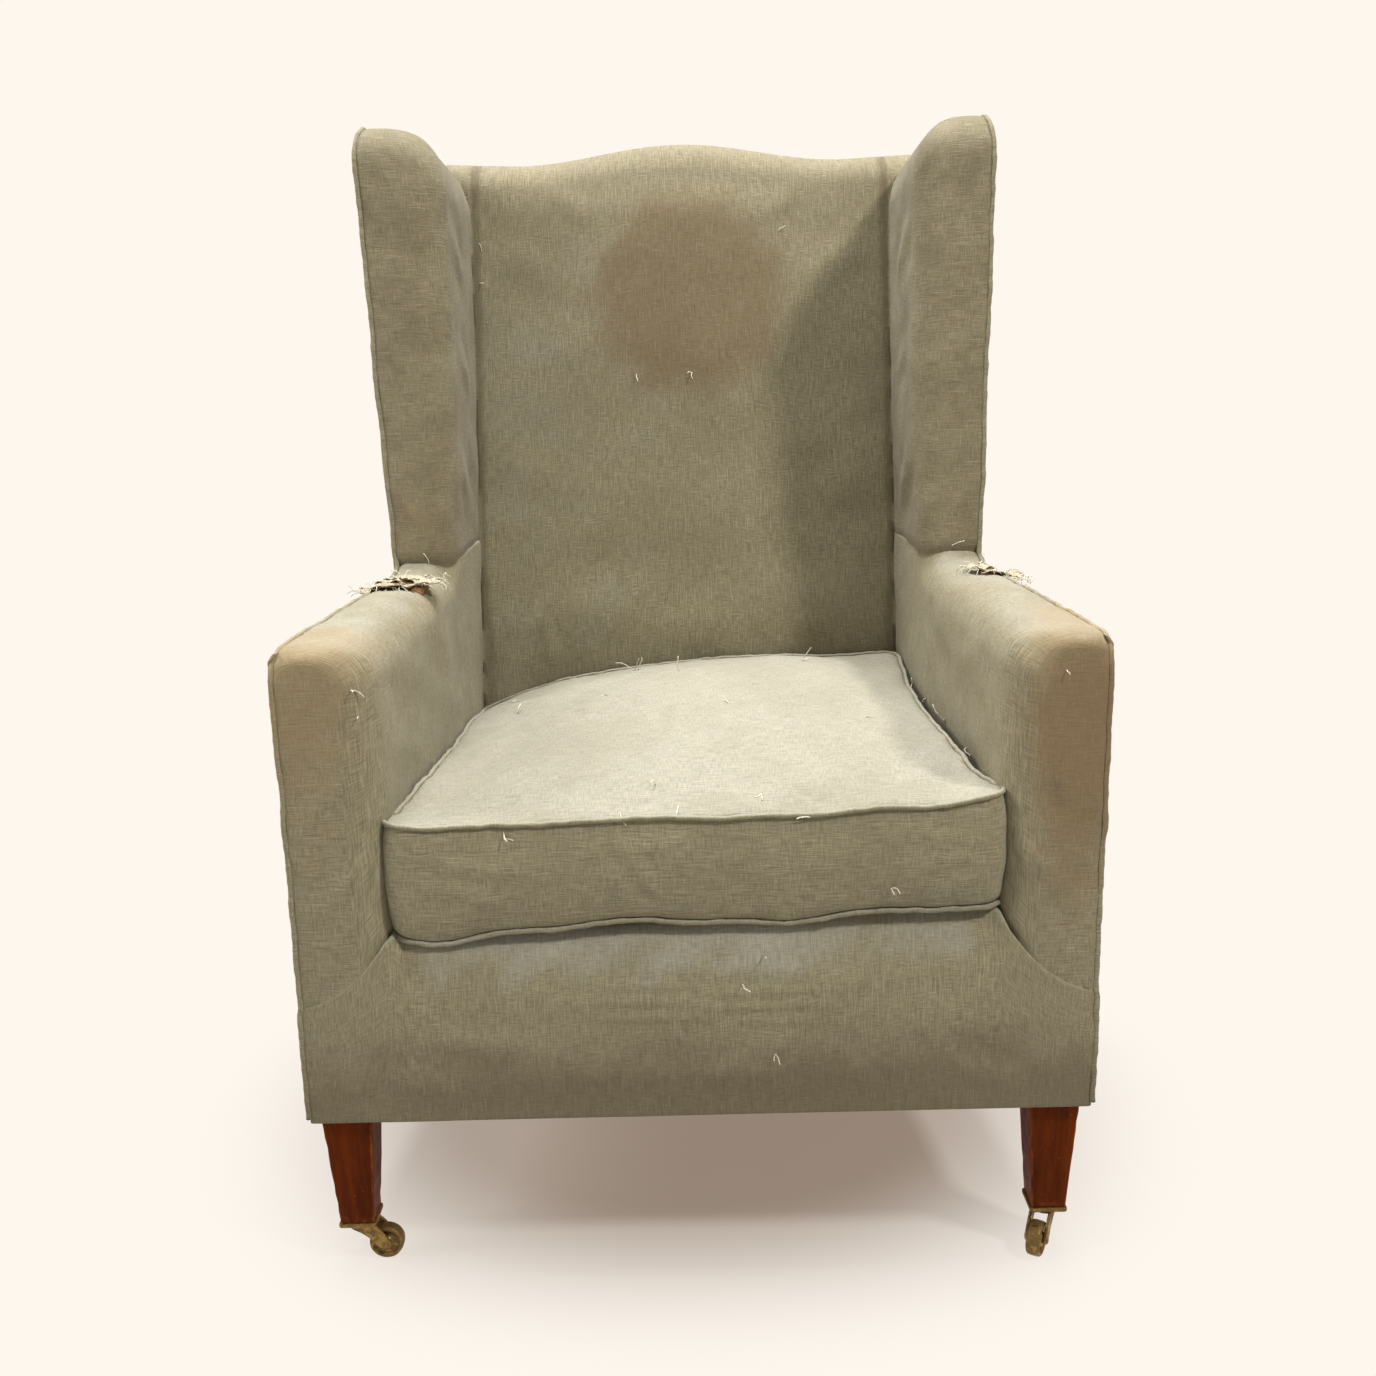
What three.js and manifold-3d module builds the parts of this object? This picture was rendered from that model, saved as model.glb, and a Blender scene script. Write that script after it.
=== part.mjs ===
// A high-backed upholstered wing armchair, worn and sagging, on tapered front legs with brass castors.
// Millimetres, +Z up, the front of the chair faces -Y and +X is on the right of someone facing it.
// The frame is wood, the seat is sprung on webbing, and every pad and cover is a piece of its own.
import * as THREE from 'three';
import { mergeVertices } from 'three/addons/utils/BufferGeometryUtils.js';
import Module from 'manifold-3d';

const wasm = await Module();
wasm.setup();

// ---------------------------------------------------------------- driving dimensions
const FRONT_Y = -349;            // plane of the front border and the arm fronts
const GAP = 0.3;                 // clearance between two pieces that touch
const COVER = 3;                 // a cover with its hessian lining

const OUTER_FRONT = 372;         // half width over the covers at the front plane
const OUTER_TAPER = -0.102;      // how the outside narrows towards the back, per mm of depth
const INNER_FRONT = 282;         // half width between the arms at the front plane
const INNER_TAPER = -0.044;      // how the seat narrows towards the back
const WING_FLARE = 0.032;        // outward lean of the wings, per mm of height
const WING_LEAN = 0.07;          // backward lean of the wings' front edge

const BODY_BOTTOM = 164;         // lower edge of the border and the side covers
const RAIL_BOTTOM = 171;
const RAIL_TOP = 246;
const DECK_LEFT = 347;           // height of the seat deck, lower where the springs are tired
const DECK_RIGHT = 365;
const CUSHION_LEFT = 101;        // thickness of the cushion's border
const CUSHION_RIGHT = 106;
const CUSHION_CROWN = 26;        // how far the middle of the cushion stands above its edges
const CUSHION_RISE = 0.03;       // how the top of the cushion climbs towards the back
const CUSHION_OVERHANG = 12;     // how far the cushion stands out in front of the border

const ARM_FRONT_TOP = 621;       // top of the arm at its front end
const ARM_RISE = 0.042;          // rise of the arm towards the wing
const ARM_WALL = 30;             // padding on the inside of the arm
const WING_FRONT = 366;          // depth of the wing's front edge where it meets the arm
const WING_BOTTOM = 638;
const WING_TOP = 1119;

const SEAT_LEVEL = 486;          // height at which the depth of the back is stated
const BACK_FACE = 500;           // depth of the inside back at that height
const BACK_RAKE = 0.17;          // backward slope of the back, per mm of height
const BACK_PAD = 58;             // from the inside back to the frame
const BACK_THICK = 101.5;        // from the inside back to the outside cover
const CREST_HALF = 298;
const CREST_MIDDLE = 1124;       // top of the crest's hump
const CREST_DIP = 1102;
const CREST_END = 1106;

const LEG_X = 339;               // centre of a front leg
const LEG_DEPTH = 30.5;
const LEG_TOP_SIDE = 48;
const LEG_FOOT_SIDE = 33.5;
const LEG_FOOT = 47;             // where the leg stands on its castor

const POST_IN = 261;             // inner and outer side of a back post
const POST_OUT = 296;
const PIPING_RADIUS = 2.4;

const WHEEL_RADIUS = 17;
const WHEEL_WIDTH = 14;
const CASTOR_TRAIL = 24;         // from the swivel's axis to the axle
const CASTOR_TURN = { left: 0, right: THREE.MathUtils.degToRad(240) };

const SIDES = [['left', -1], ['right', 1]];

// ---------------------------------------------------------------- finishes
const finish = (color, roughness, metalness = 0) =>
  new THREE.MeshStandardMaterial({ color, roughness, metalness });
const finishes = {
  linen: () => finish(0x8b8d78, 0.95),
  hessian: () => finish(0xa88d5f, 0.95),
  webbing: () => finish(0x8f7b55, 0.9),
  beech: () => finish(0xb98d5c, 0.7),
  mahogany: () => finish(0x6b2f16, 0.35),
  brass: () => finish(0xa8843f, 0.4, 1),
  steel: () => finish(0x6d6a66, 0.5, 1),
};

// ---------------------------------------------------------------- solids from geometries
function toSolid(geometry) {
  const bare = geometry.clone();
  bare.deleteAttribute('normal');
  bare.deleteAttribute('uv');
  const merged = mergeVertices(bare, 1e-4);
  const vertProperties = new Float32Array(merged.attributes.position.array);
  const triVerts = new Uint32Array(merged.index.array);
  return new wasm.Manifold(new wasm.Mesh({ numProp: 3, vertProperties, triVerts }));
}

function toGeometry(solid) {
  const { vertProperties, triVerts } = solid.getMesh();
  const geometry = new THREE.BufferGeometry();
  geometry.setAttribute('position', new THREE.BufferAttribute(new Float32Array(vertProperties), 3));
  geometry.setIndex(new THREE.BufferAttribute(new Uint32Array(triVerts), 1));
  geometry.computeVertexNormals();
  return geometry;
}

// An outline through corners [a, b, radius]; a corner with a radius is rounded.
function outline(corners) {
  const shape = new THREE.Shape();
  const count = corners.length;
  const towards = (from, to, reach) => {
    const length = Math.hypot(to[0] - from[0], to[1] - from[1]);
    const share = Math.min(reach / length, 0.5);
    return [from[0] + (to[0] - from[0]) * share, from[1] + (to[1] - from[1]) * share];
  };
  corners.forEach((corner, i) => {
    const before = corners[(i + count - 1) % count];
    const after = corners[(i + 1) % count];
    const radius = corner[2] ?? 0;
    const start = radius ? towards(corner, before, radius) : corner;
    if (i === 0) shape.moveTo(start[0], start[1]);
    else shape.lineTo(start[0], start[1]);
    if (radius) {
      const end = towards(corner, after, radius);
      shape.quadraticCurveTo(corner[0], corner[1], end[0], end[1]);
    }
  });
  shape.closePath();
  return shape;
}

const ROUND_STEPS = 4;
const extrude = (shape, depth, steps = ROUND_STEPS) =>
  new THREE.ExtrudeGeometry(shape, { depth, bevelEnabled: false, curveSegments: steps });

// Depths (d) are measured back from the front plane, so y = FRONT_Y + d.
// along X: an outline in depth and height, carried from x0 to x1
function alongX(shape, x0, x1, steps) {
  const basis = new THREE.Matrix4().makeBasis(
    new THREE.Vector3(0, 1, 0), new THREE.Vector3(0, 0, 1), new THREE.Vector3(1, 0, 0));
  return extrude(shape, x1 - x0, steps).applyMatrix4(basis).translate(x0, FRONT_Y, 0);
}

// along Y: an outline in x and height, carried from depth d0 to d1
function alongY(shape, d0, d1, steps) {
  return extrude(shape, d1 - d0, steps).rotateX(Math.PI / 2).translate(0, FRONT_Y + d1, 0);
}

// along Z: an outline in x and depth, carried from height z0 to z1
function alongZ(shape, z0, z1, steps) {
  return extrude(shape, z1 - z0, steps).translate(0, FRONT_Y, z0);
}

function box(x0, x1, d0, d1, z0, z1) {
  return new THREE.BoxGeometry(x1 - x0, d1 - d0, z1 - z0)
    .translate((x0 + x1) / 2, FRONT_Y + (d0 + d1) / 2, (z0 + z1) / 2);
}

// Slants a geometry: x changes with depth and height, y with height, z with depth.
function slant(geometry, { xByDepth = 0, xByHeight = 0, depthByHeight = 0, heightByDepth = 0,
  depth = 0, height = 0 }) {
  const shear = new THREE.Matrix4().makeShear(0, 0, xByDepth, heightByDepth, xByHeight, depthByHeight);
  return geometry.translate(0, -FRONT_Y - depth, -height).applyMatrix4(shear)
    .translate(0, FRONT_Y + depth, height);
}

// A straight wooden member between two points [x, d, z]; width is across, tall is upright.
function beam(from, to, width, tall) {
  const start = new THREE.Vector3(from[0], FRONT_Y + from[1], from[2]);
  const end = new THREE.Vector3(to[0], FRONT_Y + to[1], to[2]);
  const along = end.clone().sub(start);
  const length = along.length();
  along.normalize();
  const across = new THREE.Vector3().crossVectors(along, new THREE.Vector3(0, 0, 1)).normalize();
  const upright = new THREE.Vector3().crossVectors(across, along);
  const middle = start.add(end).multiplyScalar(0.5);
  return new THREE.BoxGeometry(width, length, tall)
    .applyMatrix4(new THREE.Matrix4().makeBasis(across, along, upright))
    .translate(middle.x, middle.y, middle.z);
}

function tube(points, radius, steps, around) {
  const path = new THREE.CatmullRomCurve3(points, false, 'centripetal');
  const section = new THREE.Shape();
  for (let i = 0; i < around; i += 1) {
    const angle = (i / around) * Math.PI * 2;
    const place = [radius * Math.cos(angle), radius * Math.sin(angle)];
    if (i === 0) section.moveTo(...place);
    else section.lineTo(...place);
  }
  section.closePath();
  return new THREE.ExtrudeGeometry(section, { steps, extrudePath: path, bevelEnabled: false });
}

const chair = new THREE.Group();

function add(name, geometry, material, parent = chair) {
  const mesh = new THREE.Mesh(geometry, material);
  mesh.name = name;
  parent.add(mesh);
  return mesh;
}

const outerHalf = (d) => OUTER_FRONT + OUTER_TAPER * d;
const innerHalf = (d) => INNER_FRONT + INNER_TAPER * d;

// ---------------------------------------------------------------- the crest's line
// The top of the back falls from a hump in the middle to two dips and rises again at its ends.
function crestPoints(drop) {
  const hump = 200;
  const points = [];
  for (let i = -8; i <= 8; i += 1) {
    const x = (i / 8) * CREST_HALF;
    const near = Math.min(Math.abs(x) / hump, 1);
    const far = Math.max((Math.abs(x) - hump) / (CREST_HALF - hump), 0);
    const lift = (CREST_MIDDLE - CREST_DIP) * (0.5 + 0.5 * Math.cos(Math.PI * near));
    points.push([x, CREST_DIP + lift + (CREST_END - CREST_DIP) * far - drop]);
  }
  return points;
}

const RAKED = { depthByHeight: BACK_RAKE, depth: BACK_FACE, height: SEAT_LEVEL };

// ---------------------------------------------------------------- wooden frame
const RAIL_THICK = 26;
const RAIL_INSET = 7;                         // from the front plane to the front rail
const BACK_RAIL_INSET = 12;                   // from the front of the posts to the back rail
const FRAME_FRONT = BACK_FACE + BACK_PAD;     // front of the back frame at seat level
const POST_DEEP = 42;
const POST_KNEE = 416;                        // where the post stops being upright
const POST_TOP = 1074;
const postFront = (z) => FRAME_FRONT + BACK_RAKE * (z - SEAT_LEVEL);
const KNEE_FRONT = postFront(POST_KNEE);
const KNEE_BACK = KNEE_FRONT + POST_DEEP + 3;
const FOOT_FRONT = 622;
const FOOT_BACK = 661;

function backPostOutline() {
  const shape = new THREE.Shape();
  shape.moveTo(FOOT_FRONT, 0);
  shape.quadraticCurveTo(KNEE_FRONT + 14, 95, KNEE_FRONT, BODY_BOTTOM + 26);
  shape.lineTo(KNEE_FRONT, POST_KNEE);
  shape.lineTo(postFront(POST_TOP), POST_TOP);
  shape.lineTo(postFront(POST_TOP) + POST_DEEP, POST_TOP);
  shape.lineTo(KNEE_BACK, POST_KNEE + 18);
  shape.lineTo(KNEE_BACK, BODY_BOTTOM - 3);
  shape.quadraticCurveTo(KNEE_FRONT + POST_DEEP + 12, 88, FOOT_BACK, 0);
  shape.closePath();
  return shape;
}

function frontLeg(side) {
  const corner = Math.SQRT1_2;
  const profile = [
    [0, LEG_FOOT], [LEG_FOOT_SIDE * corner, LEG_FOOT], [LEG_TOP_SIDE * corner, BODY_BOTTOM],
    [LEG_TOP_SIDE * corner, RAIL_TOP], [0, RAIL_TOP],
  ].map(([r, z]) => new THREE.Vector2(r, z));
  return new THREE.LatheGeometry(profile, 4)
    .rotateX(Math.PI / 2)
    .rotateZ(Math.PI / 4)
    .translate(side * LEG_X, FRONT_Y + LEG_DEPTH, 0);
}

const LEG_BACK = LEG_DEPTH + LEG_TOP_SIDE / 2;
const LEG_IN = LEG_X - LEG_TOP_SIDE / 2;
const RAIL_MIDDLE = (RAIL_BOTTOM + RAIL_TOP) / 2;
const RAIL_TALL = RAIL_TOP - RAIL_BOTTOM;
const POST_MIDDLE = (POST_IN + POST_OUT) / 2;
const STUMP_DEPTH = 48;                       // middle of the arm's front post
const STUMP_WIDE = 36;
const STUMP_DEEP = 40;
const STUMP_X = LEG_X - 4;
const ARM_RAIL_BOTTOM = 544;
const ARM_RAIL_TALL = 32;
const WING_POST_DEPTH = 418;
const WING_POST_DEEP = 36;
const WING_POST_THICK = 22;
const WING_RAIL = WING_TOP - 67;              // middle of the wing's top rail
const CREST_RAIL_BOTTOM = CREST_DIP - 101;
const TACKING_BOTTOM = DECK_RIGHT + 23;
const TACKING_TOP = TACKING_BOTTOM + 56;
const CREST_STUFFING = 16;                    // over the crest rail
const RAIL_BEHIND = 6;                        // from the front of the back frame to its cross rails
const RAIL_DEEP = 28;

function buildFrame() {
  const frontRail = box(-LEG_IN + GAP, LEG_IN - GAP, RAIL_INSET, RAIL_INSET + RAIL_THICK,
    RAIL_BOTTOM, RAIL_TOP);
  add('front_rail', frontRail, finishes.beech());
  const backRailFront = KNEE_FRONT + BACK_RAIL_INSET;
  const backRail = box(-POST_IN + GAP, POST_IN - GAP, backRailFront, backRailFront + RAIL_THICK,
    RAIL_BOTTOM, RAIL_TOP);
  add('back_rail', backRail, finishes.beech());

  for (const [hand, side] of SIDES) {
    add(`${hand}_front_leg`, frontLeg(side), finishes.mahogany());
    const post = alongX(backPostOutline(), side > 0 ? POST_IN : -POST_OUT, side > 0 ? POST_OUT : -POST_IN);
    add(`${hand}_back_post`, post, finishes.mahogany());

    const railStart = [side * (LEG_X + 6), LEG_BACK + 2, RAIL_MIDDLE];
    const railEnd = [side * (POST_MIDDLE + 3), KNEE_FRONT - 2, RAIL_MIDDLE];
    add(`${hand}_side_rail`, beam(railStart, railEnd, RAIL_THICK, RAIL_TALL), finishes.beech());

    const stump = box(-STUMP_WIDE / 2, STUMP_WIDE / 2, STUMP_DEPTH - STUMP_DEEP / 2,
      STUMP_DEPTH + STUMP_DEEP / 2, RAIL_TOP + GAP, ARM_RAIL_BOTTOM - GAP).translate(side * STUMP_X, 0, 0);
    add(`${hand}_arm_post`, stump, finishes.beech());

    const armZ = ARM_RAIL_BOTTOM + ARM_RAIL_TALL / 2;
    const armStart = [side * STUMP_X, STUMP_DEPTH - STUMP_DEEP / 2, armZ];
    const armEnd = [side * (POST_OUT - RAIL_THICK / 2), postFront(ARM_RAIL_BOTTOM) - 3, armZ];
    add(`${hand}_arm_rail`, beam(armStart, armEnd, RAIL_THICK, ARM_RAIL_TALL), finishes.beech());

    const wingX = outerHalf(WING_POST_DEPTH) - COVER - 6 - WING_POST_THICK / 2;
    const wingPost = slant(
      box(-WING_POST_THICK / 2, WING_POST_THICK / 2, WING_POST_DEPTH - WING_POST_DEEP / 2,
        WING_POST_DEPTH + WING_POST_DEEP / 2, ARM_RAIL_BOTTOM + ARM_RAIL_TALL + GAP, WING_RAIL - 16),
      { depthByHeight: WING_LEAN, depth: WING_POST_DEPTH, height: WING_BOTTOM })
      .translate(side * wingX, 0, 0);
    add(`${hand}_wing_post`, wingPost, finishes.beech());

    const wingRailStart = [side * wingX, WING_POST_DEPTH - 4 + WING_LEAN * 400, WING_RAIL];
    const wingRailEnd = [side * (POST_MIDDLE + 2), postFront(WING_RAIL - 16) - 4, WING_RAIL - 6];
    add(`${hand}_wing_rail`, beam(wingRailStart, wingRailEnd, WING_POST_THICK, 26), finishes.beech());
  }

  const crestTop = crestPoints(CREST_STUFFING).filter(([x]) => Math.abs(x) < POST_IN);
  const end = POST_IN - GAP;
  const shoulder = CREST_DIP - CREST_STUFFING + 1;
  const crest = outline([[-end, CREST_RAIL_BOTTOM], [end, CREST_RAIL_BOTTOM], [end, shoulder],
    ...crestTop.reverse(), [-end, shoulder]]);
  const railFront = FRAME_FRONT + RAIL_BEHIND;
  const crestRail = slant(alongY(crest, railFront, railFront + RAIL_DEEP), { ...RAKED });
  add('crest_rail', crestRail, finishes.beech());
  const tacking = box(-end, end, railFront, railFront + RAIL_DEEP, TACKING_BOTTOM, TACKING_TOP);
  add('tacking_rail', slant(tacking, { ...RAKED }), finishes.beech());
}

function buildCornerBlocks() {
  const z0 = RAIL_BOTTOM + 8;
  const z1 = RAIL_TOP - 12;
  const frontInside = RAIL_INSET + RAIL_THICK + GAP;
  const backInside = KNEE_FRONT + BACK_RAIL_INSET - GAP;
  for (const [hand, side] of SIDES) {
    const front = outline([[side * 236, frontInside], [side * (LEG_IN - GAP), frontInside],
      [side * (LEG_IN - GAP), LEG_BACK + 2], [side * 329, LEG_BACK + 2], [side * 322, 118]]);
    add(`${hand}_front_corner_block`, alongZ(front, z0, z1), finishes.beech());
    const back = outline([[side * 180, backInside], [side * (POST_IN - GAP), backInside],
      [side * (POST_IN - GAP), KNEE_FRONT - 2], [side * 263, KNEE_FRONT - 2],
      [side * 266, KNEE_FRONT - 60]]);
    add(`${hand}_back_corner_block`, alongZ(back, z0, z1), finishes.beech());
  }
}

// ---------------------------------------------------------------- springing
const STRAP_WIDE = 50;
const STRAP_THICK = 2;
const STRAP_X = [-150, 0, 150];
const STRAP_DEPTH = [150, 300, 450];
const deckTop = (x) => DECK_LEFT + ((x + INNER_FRONT) / (2 * INNER_FRONT)) * (DECK_RIGHT - DECK_LEFT);
const DECK_THICK = 30;

// A coil spring whose turns are wide at both ends and narrow at the waist.
class CoilCurve extends THREE.Curve {
  constructor(bottom, top) {
    super();
    this.bottom = bottom;
    this.top = top;
  }

  getPoint(t, target = new THREE.Vector3()) {
    const turns = 5;
    const radius = 25 + 17 * (2 * t - 1) ** 2;
    const angle = t * turns * Math.PI * 2;
    const height = this.bottom + (this.top - this.bottom) * t;
    return target.set(radius * Math.cos(angle), radius * Math.sin(angle), height);
  }
}

function buildSprings() {
  const wire = 1.9;
  const upper = RAIL_BOTTOM - GAP;
  STRAP_X.forEach((x, i) => {
    const strap = box(x - STRAP_WIDE / 2, x + STRAP_WIDE / 2, RAIL_INSET + 2, KNEE_FRONT + 36,
      upper - STRAP_THICK, upper);
    add(`webbing_long_${i + 1}`, strap, finishes.webbing());
  });
  const lower = upper - STRAP_THICK - GAP;
  STRAP_DEPTH.forEach((d, i) => {
    const reach = LEG_X - 0.14 * d - 4;
    const strap = box(-reach, reach, d - STRAP_WIDE / 2, d + STRAP_WIDE / 2, lower - STRAP_THICK, lower);
    add(`webbing_cross_${i + 1}`, strap, finishes.webbing());
  });
  STRAP_X.forEach((x, i) => {
    STRAP_DEPTH.forEach((d, j) => {
      const top = deckTop(x - 45) - DECK_THICK - wire - 2;
      const section = outline([[wire, wire], [-wire, wire], [-wire, -wire], [wire, -wire]]);
      const coil = new THREE.ExtrudeGeometry(section,
        { steps: 44, extrudePath: new CoilCurve(upper + wire + 1.5, top), bevelEnabled: false });
      coil.translate(x, FRONT_Y + d, 0);
      add(`spring_${i + 1}_${j + 1}`, coil, finishes.steel());
    });
  });
}

// ---------------------------------------------------------------- seat
// The seam between the border and an arm front climbs from the outer edge to the seat.
const SEAM_OUTER = 284;
const SEAM_SLOPE = -0.786;
const seamHeight = (x) => SEAM_OUTER + SEAM_SLOPE * (x - OUTER_FRONT);

// Anything behind this block's front face is behind the inside back.
const behindBack = (clear) => toSolid(slant(
  box(-500, 500, BACK_FACE - clear, BACK_FACE + 600, 100, 1300), { ...RAKED }));

function buildSeat() {
  const deckPlan = outline([[-innerHalf(47) + 1, 47], [innerHalf(47) - 1, 47],
    [innerHalf(490) - 1, 490], [-innerHalf(490) + 1, 490]]);
  const deckSide = outline([[-INNER_FRONT, DECK_LEFT - DECK_THICK], [INNER_FRONT, DECK_RIGHT - DECK_THICK],
    [INNER_FRONT, DECK_RIGHT], [-INNER_FRONT, DECK_LEFT]]);
  const deck = toSolid(alongZ(deckPlan, 200, 500))
    .intersect(toSolid(alongY(deckSide, 0, 600)))
    .subtract(behindBack(1));
  add('seat_deck', toGeometry(deck), finishes.hessian());

  const reach = INNER_FRONT - 2;
  const bottomLeft = DECK_LEFT + 0.5;
  const bottomRight = DECK_RIGHT + 0.5;
  const topLeft = bottomLeft + CUSHION_LEFT;
  const topRight = bottomRight + CUSHION_RIGHT;
  const under = outline([[-reach, bottomLeft, 10], [reach, bottomRight, 10], [reach, 700], [-reach, 700]]);
  const crown = new THREE.Shape();
  crown.moveTo(-reach, 200);
  crown.lineTo(reach, 200);
  crown.lineTo(reach, topRight - 12);
  crown.quadraticCurveTo(reach, topRight, reach - 14, topRight + 2);
  crown.bezierCurveTo(reach / 2, topRight + CUSHION_CROWN * 1.2, -reach / 2,
    topLeft + CUSHION_CROWN * 1.6, -reach + 14, topLeft + 2);
  crown.quadraticCurveTo(-reach, topLeft, -reach, topLeft - 12);
  crown.closePath();
  const plan = outline([[-reach, -CUSHION_OVERHANG, 24], [reach, -CUSHION_OVERHANG, 24],
    [innerHalf(500) - 2, 520], [-innerHalf(500) + 2, 520]]);
  const cushion = toSolid(alongY(under, -40, 560))
    .intersect(toSolid(slant(alongY(crown, -41, 561, 8), { heightByDepth: CUSHION_RISE })))
    .intersect(toSolid(alongZ(plan, 200, 600)))
    .subtract(behindBack(1));
  add('seat_cushion', toGeometry(cushion), finishes.linen());

  const rollHalf = INNER_FRONT - 4;
  const face = outline([[-OUTER_FRONT, BODY_BOTTOM], [OUTER_FRONT, BODY_BOTTOM],
    [OUTER_FRONT, seamHeight(OUTER_FRONT)], [INNER_FRONT + 6, seamHeight(INNER_FRONT + 6)],
    [rollHalf, DECK_RIGHT - 1], [-rollHalf, DECK_LEFT - 1],
    [-INNER_FRONT - 6, seamHeight(INNER_FRONT + 6)], [-OUTER_FRONT, seamHeight(OUTER_FRONT)]]);
  const rollView = outline([[-rollHalf, RAIL_TOP + 12], [rollHalf, RAIL_TOP + 12],
    [rollHalf, DECK_RIGHT - 1], [-rollHalf, DECK_LEFT - 1]]);
  const panel = toSolid(alongY(face, 0, 5.5)).add(toSolid(alongY(rollView, 2, 46)));
  const border = SIDES.reduce((rest, [, side]) => rest.subtract(pipingGroove(side)), panel);
  add('front_border', toGeometry(border), finishes.linen());
}

// ---------------------------------------------------------------- piping
// The piping follows the outer front edge of the arm, the top edge of the arm and the front of the wing.
const armTop = (d) => ARM_FRONT_TOP + ARM_RISE * d;
const wingFront = (z) => WING_FRONT + WING_LEAN * (z - WING_BOTTOM);
const wingOuter = (d, z) => outerHalf(d) + WING_FLARE * (z - WING_BOTTOM);

function pipingPoints(side) {
  const proud = 0.6;
  const stations = [
    [outerHalf(0), 0, BODY_BOTTOM + 4], [outerHalf(0), 0, 310], [outerHalf(0), 0, 460],
    [outerHalf(0), 0, armTop(0) - 24], [outerHalf(0) - 2, 3, armTop(0) - 6],
    [outerHalf(20) - 1, 20, armTop(20)],
    [outerHalf(60), 60, armTop(60)], [outerHalf(200), 200, armTop(200)],
    [outerHalf(345), 345, armTop(345)], [outerHalf(364), 364, armTop(364) + 9],
    [wingOuter(371, WING_BOTTOM + 28), 370, WING_BOTTOM + 33],
    ...[-300, -150, -63].map((z) => [wingOuter(wingFront(WING_TOP + z), WING_TOP + z),
      wingFront(WING_TOP + z) + 1, WING_TOP + z]),
    [wingOuter(405, WING_TOP - 23), 403, WING_TOP - 23], [wingOuter(430, WING_TOP), 430, WING_TOP - 2],
    [wingOuter(470, WING_TOP), 470, WING_TOP - 2.5], [wingOuter(590, WING_TOP), 590, WING_TOP - 12.5],
  ];
  return stations.map(([x, d, z]) => new THREE.Vector3(side * (x + proud), FRONT_Y + d - proud, z + proud));
}

// the channel that the piping lies in, a little wider than the piping
const pipingGroove = (side) => toSolid(tube(pipingPoints(side), PIPING_RADIUS + 0.5, 64, 8));

// ---------------------------------------------------------------- arms and wings
const ROUND_PLAN = 30;
const HOLLOW_TAPER = -0.079;     // the hollows follow the frame, which narrows faster than the seat

function armEnvelope(side) {
  const tall = ARM_FRONT_TOP;
  const outer = slant(alongY(outline([[side * 150, 100], [side * OUTER_FRONT, 100],
    [side * OUTER_FRONT, tall, 16], [side * 150, tall]]), -1, 560),
  { xByDepth: side * OUTER_TAPER, heightByDepth: ARM_RISE });
  const inner = slant(alongY(outline([[side * INNER_FRONT, 100], [side * 500, 100],
    [side * 500, tall], [side * INNER_FRONT, tall, 38]]), -2, 561),
  { xByDepth: side * INNER_TAPER, heightByDepth: ARM_RISE });
  const plan = outline([[side * innerHalf(0), 0, ROUND_PLAN], [side * OUTER_FRONT, 0, 7],
    [side * (OUTER_FRONT + 9), 30], [side * (OUTER_FRONT + 9), 559], [side * innerHalf(559), 559]]);
  const seam = outline([[side * (OUTER_FRONT + 40), seamHeight(OUTER_FRONT + 40) + 2 * GAP],
    [side * (INNER_FRONT - 40), seamHeight(INNER_FRONT - 40) + 2 * GAP], [side * 150, 420],
    [side * 150, 700], [side * (OUTER_FRONT + 40), 700]]);
  const upper = toSolid(outer).intersect(toSolid(inner)).intersect(toSolid(alongZ(plan, 90, 800)));
  const lower = toSolid(box(side > 0 ? 150 : -500, side > 0 ? 500 : -150, 27, 700, DECK_RIGHT - 42, 700));
  return upper.intersect(toSolid(alongY(seam, -3, 27)).add(lower));
}

function wingEnvelope(side) {
  const back = 700;
  const outerPlan = outline([[side * 150, WING_FRONT], [side * outerHalf(WING_FRONT), WING_FRONT, 8],
    [side * outerHalf(back), back], [side * 150, back]]);
  const innerBack = innerHalf(BACK_FACE) - 2;
  const innerPlan = outline([[side * (innerBack + 3), WING_FRONT, 42], [side * 450, WING_FRONT],
    [side * 450, back], [side * innerBack, back]]);
  const lean = { depthByHeight: WING_LEAN, depth: 0, height: WING_BOTTOM };
  const outer = slant(alongZ(outerPlan, WING_BOTTOM, 1200),
    { ...lean, xByHeight: side * (WING_FLARE + OUTER_TAPER * WING_LEAN) });
  const inner = slant(alongZ(innerPlan, WING_BOTTOM - 1, 1201), lean);
  const profile = outline([[WING_FRONT - 4, WING_BOTTOM + GAP], [wingFront(WING_TOP) - 4, WING_TOP, 58],
    [600, WING_TOP - 13], [700, WING_TOP - 13], [postFront(WING_BOTTOM) - 1, WING_BOTTOM + GAP]]);
  const frontView = outline([[side * (innerBack - 1), 500], [side * 450, 500], [side * 450, WING_TOP + 2],
    [side * (wingOuter(400, WING_TOP) + 1), WING_TOP + 2, 12], [side * (innerBack - 1), WING_TOP + 2, 50]]);
  const rear = toSolid(slant(box(-500, 500, FRAME_FRONT - 1, 900, 100, 1300), { ...RAKED }));
  const crestEnd = toSolid(slant(box(-CREST_HALF - 5, CREST_HALF + 5, BACK_FACE - 1, 900,
    POST_TOP - 3, 1300), { ...RAKED }));
  return toSolid(outer).intersect(toSolid(inner))
    .intersect(toSolid(alongX(profile, side > 0 ? 100 : -600, side > 0 ? 600 : -100)))
    .intersect(toSolid(alongY(frontView, 200, 800, 5)))
    .subtract(rear).subtract(crestEnd);
}

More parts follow.
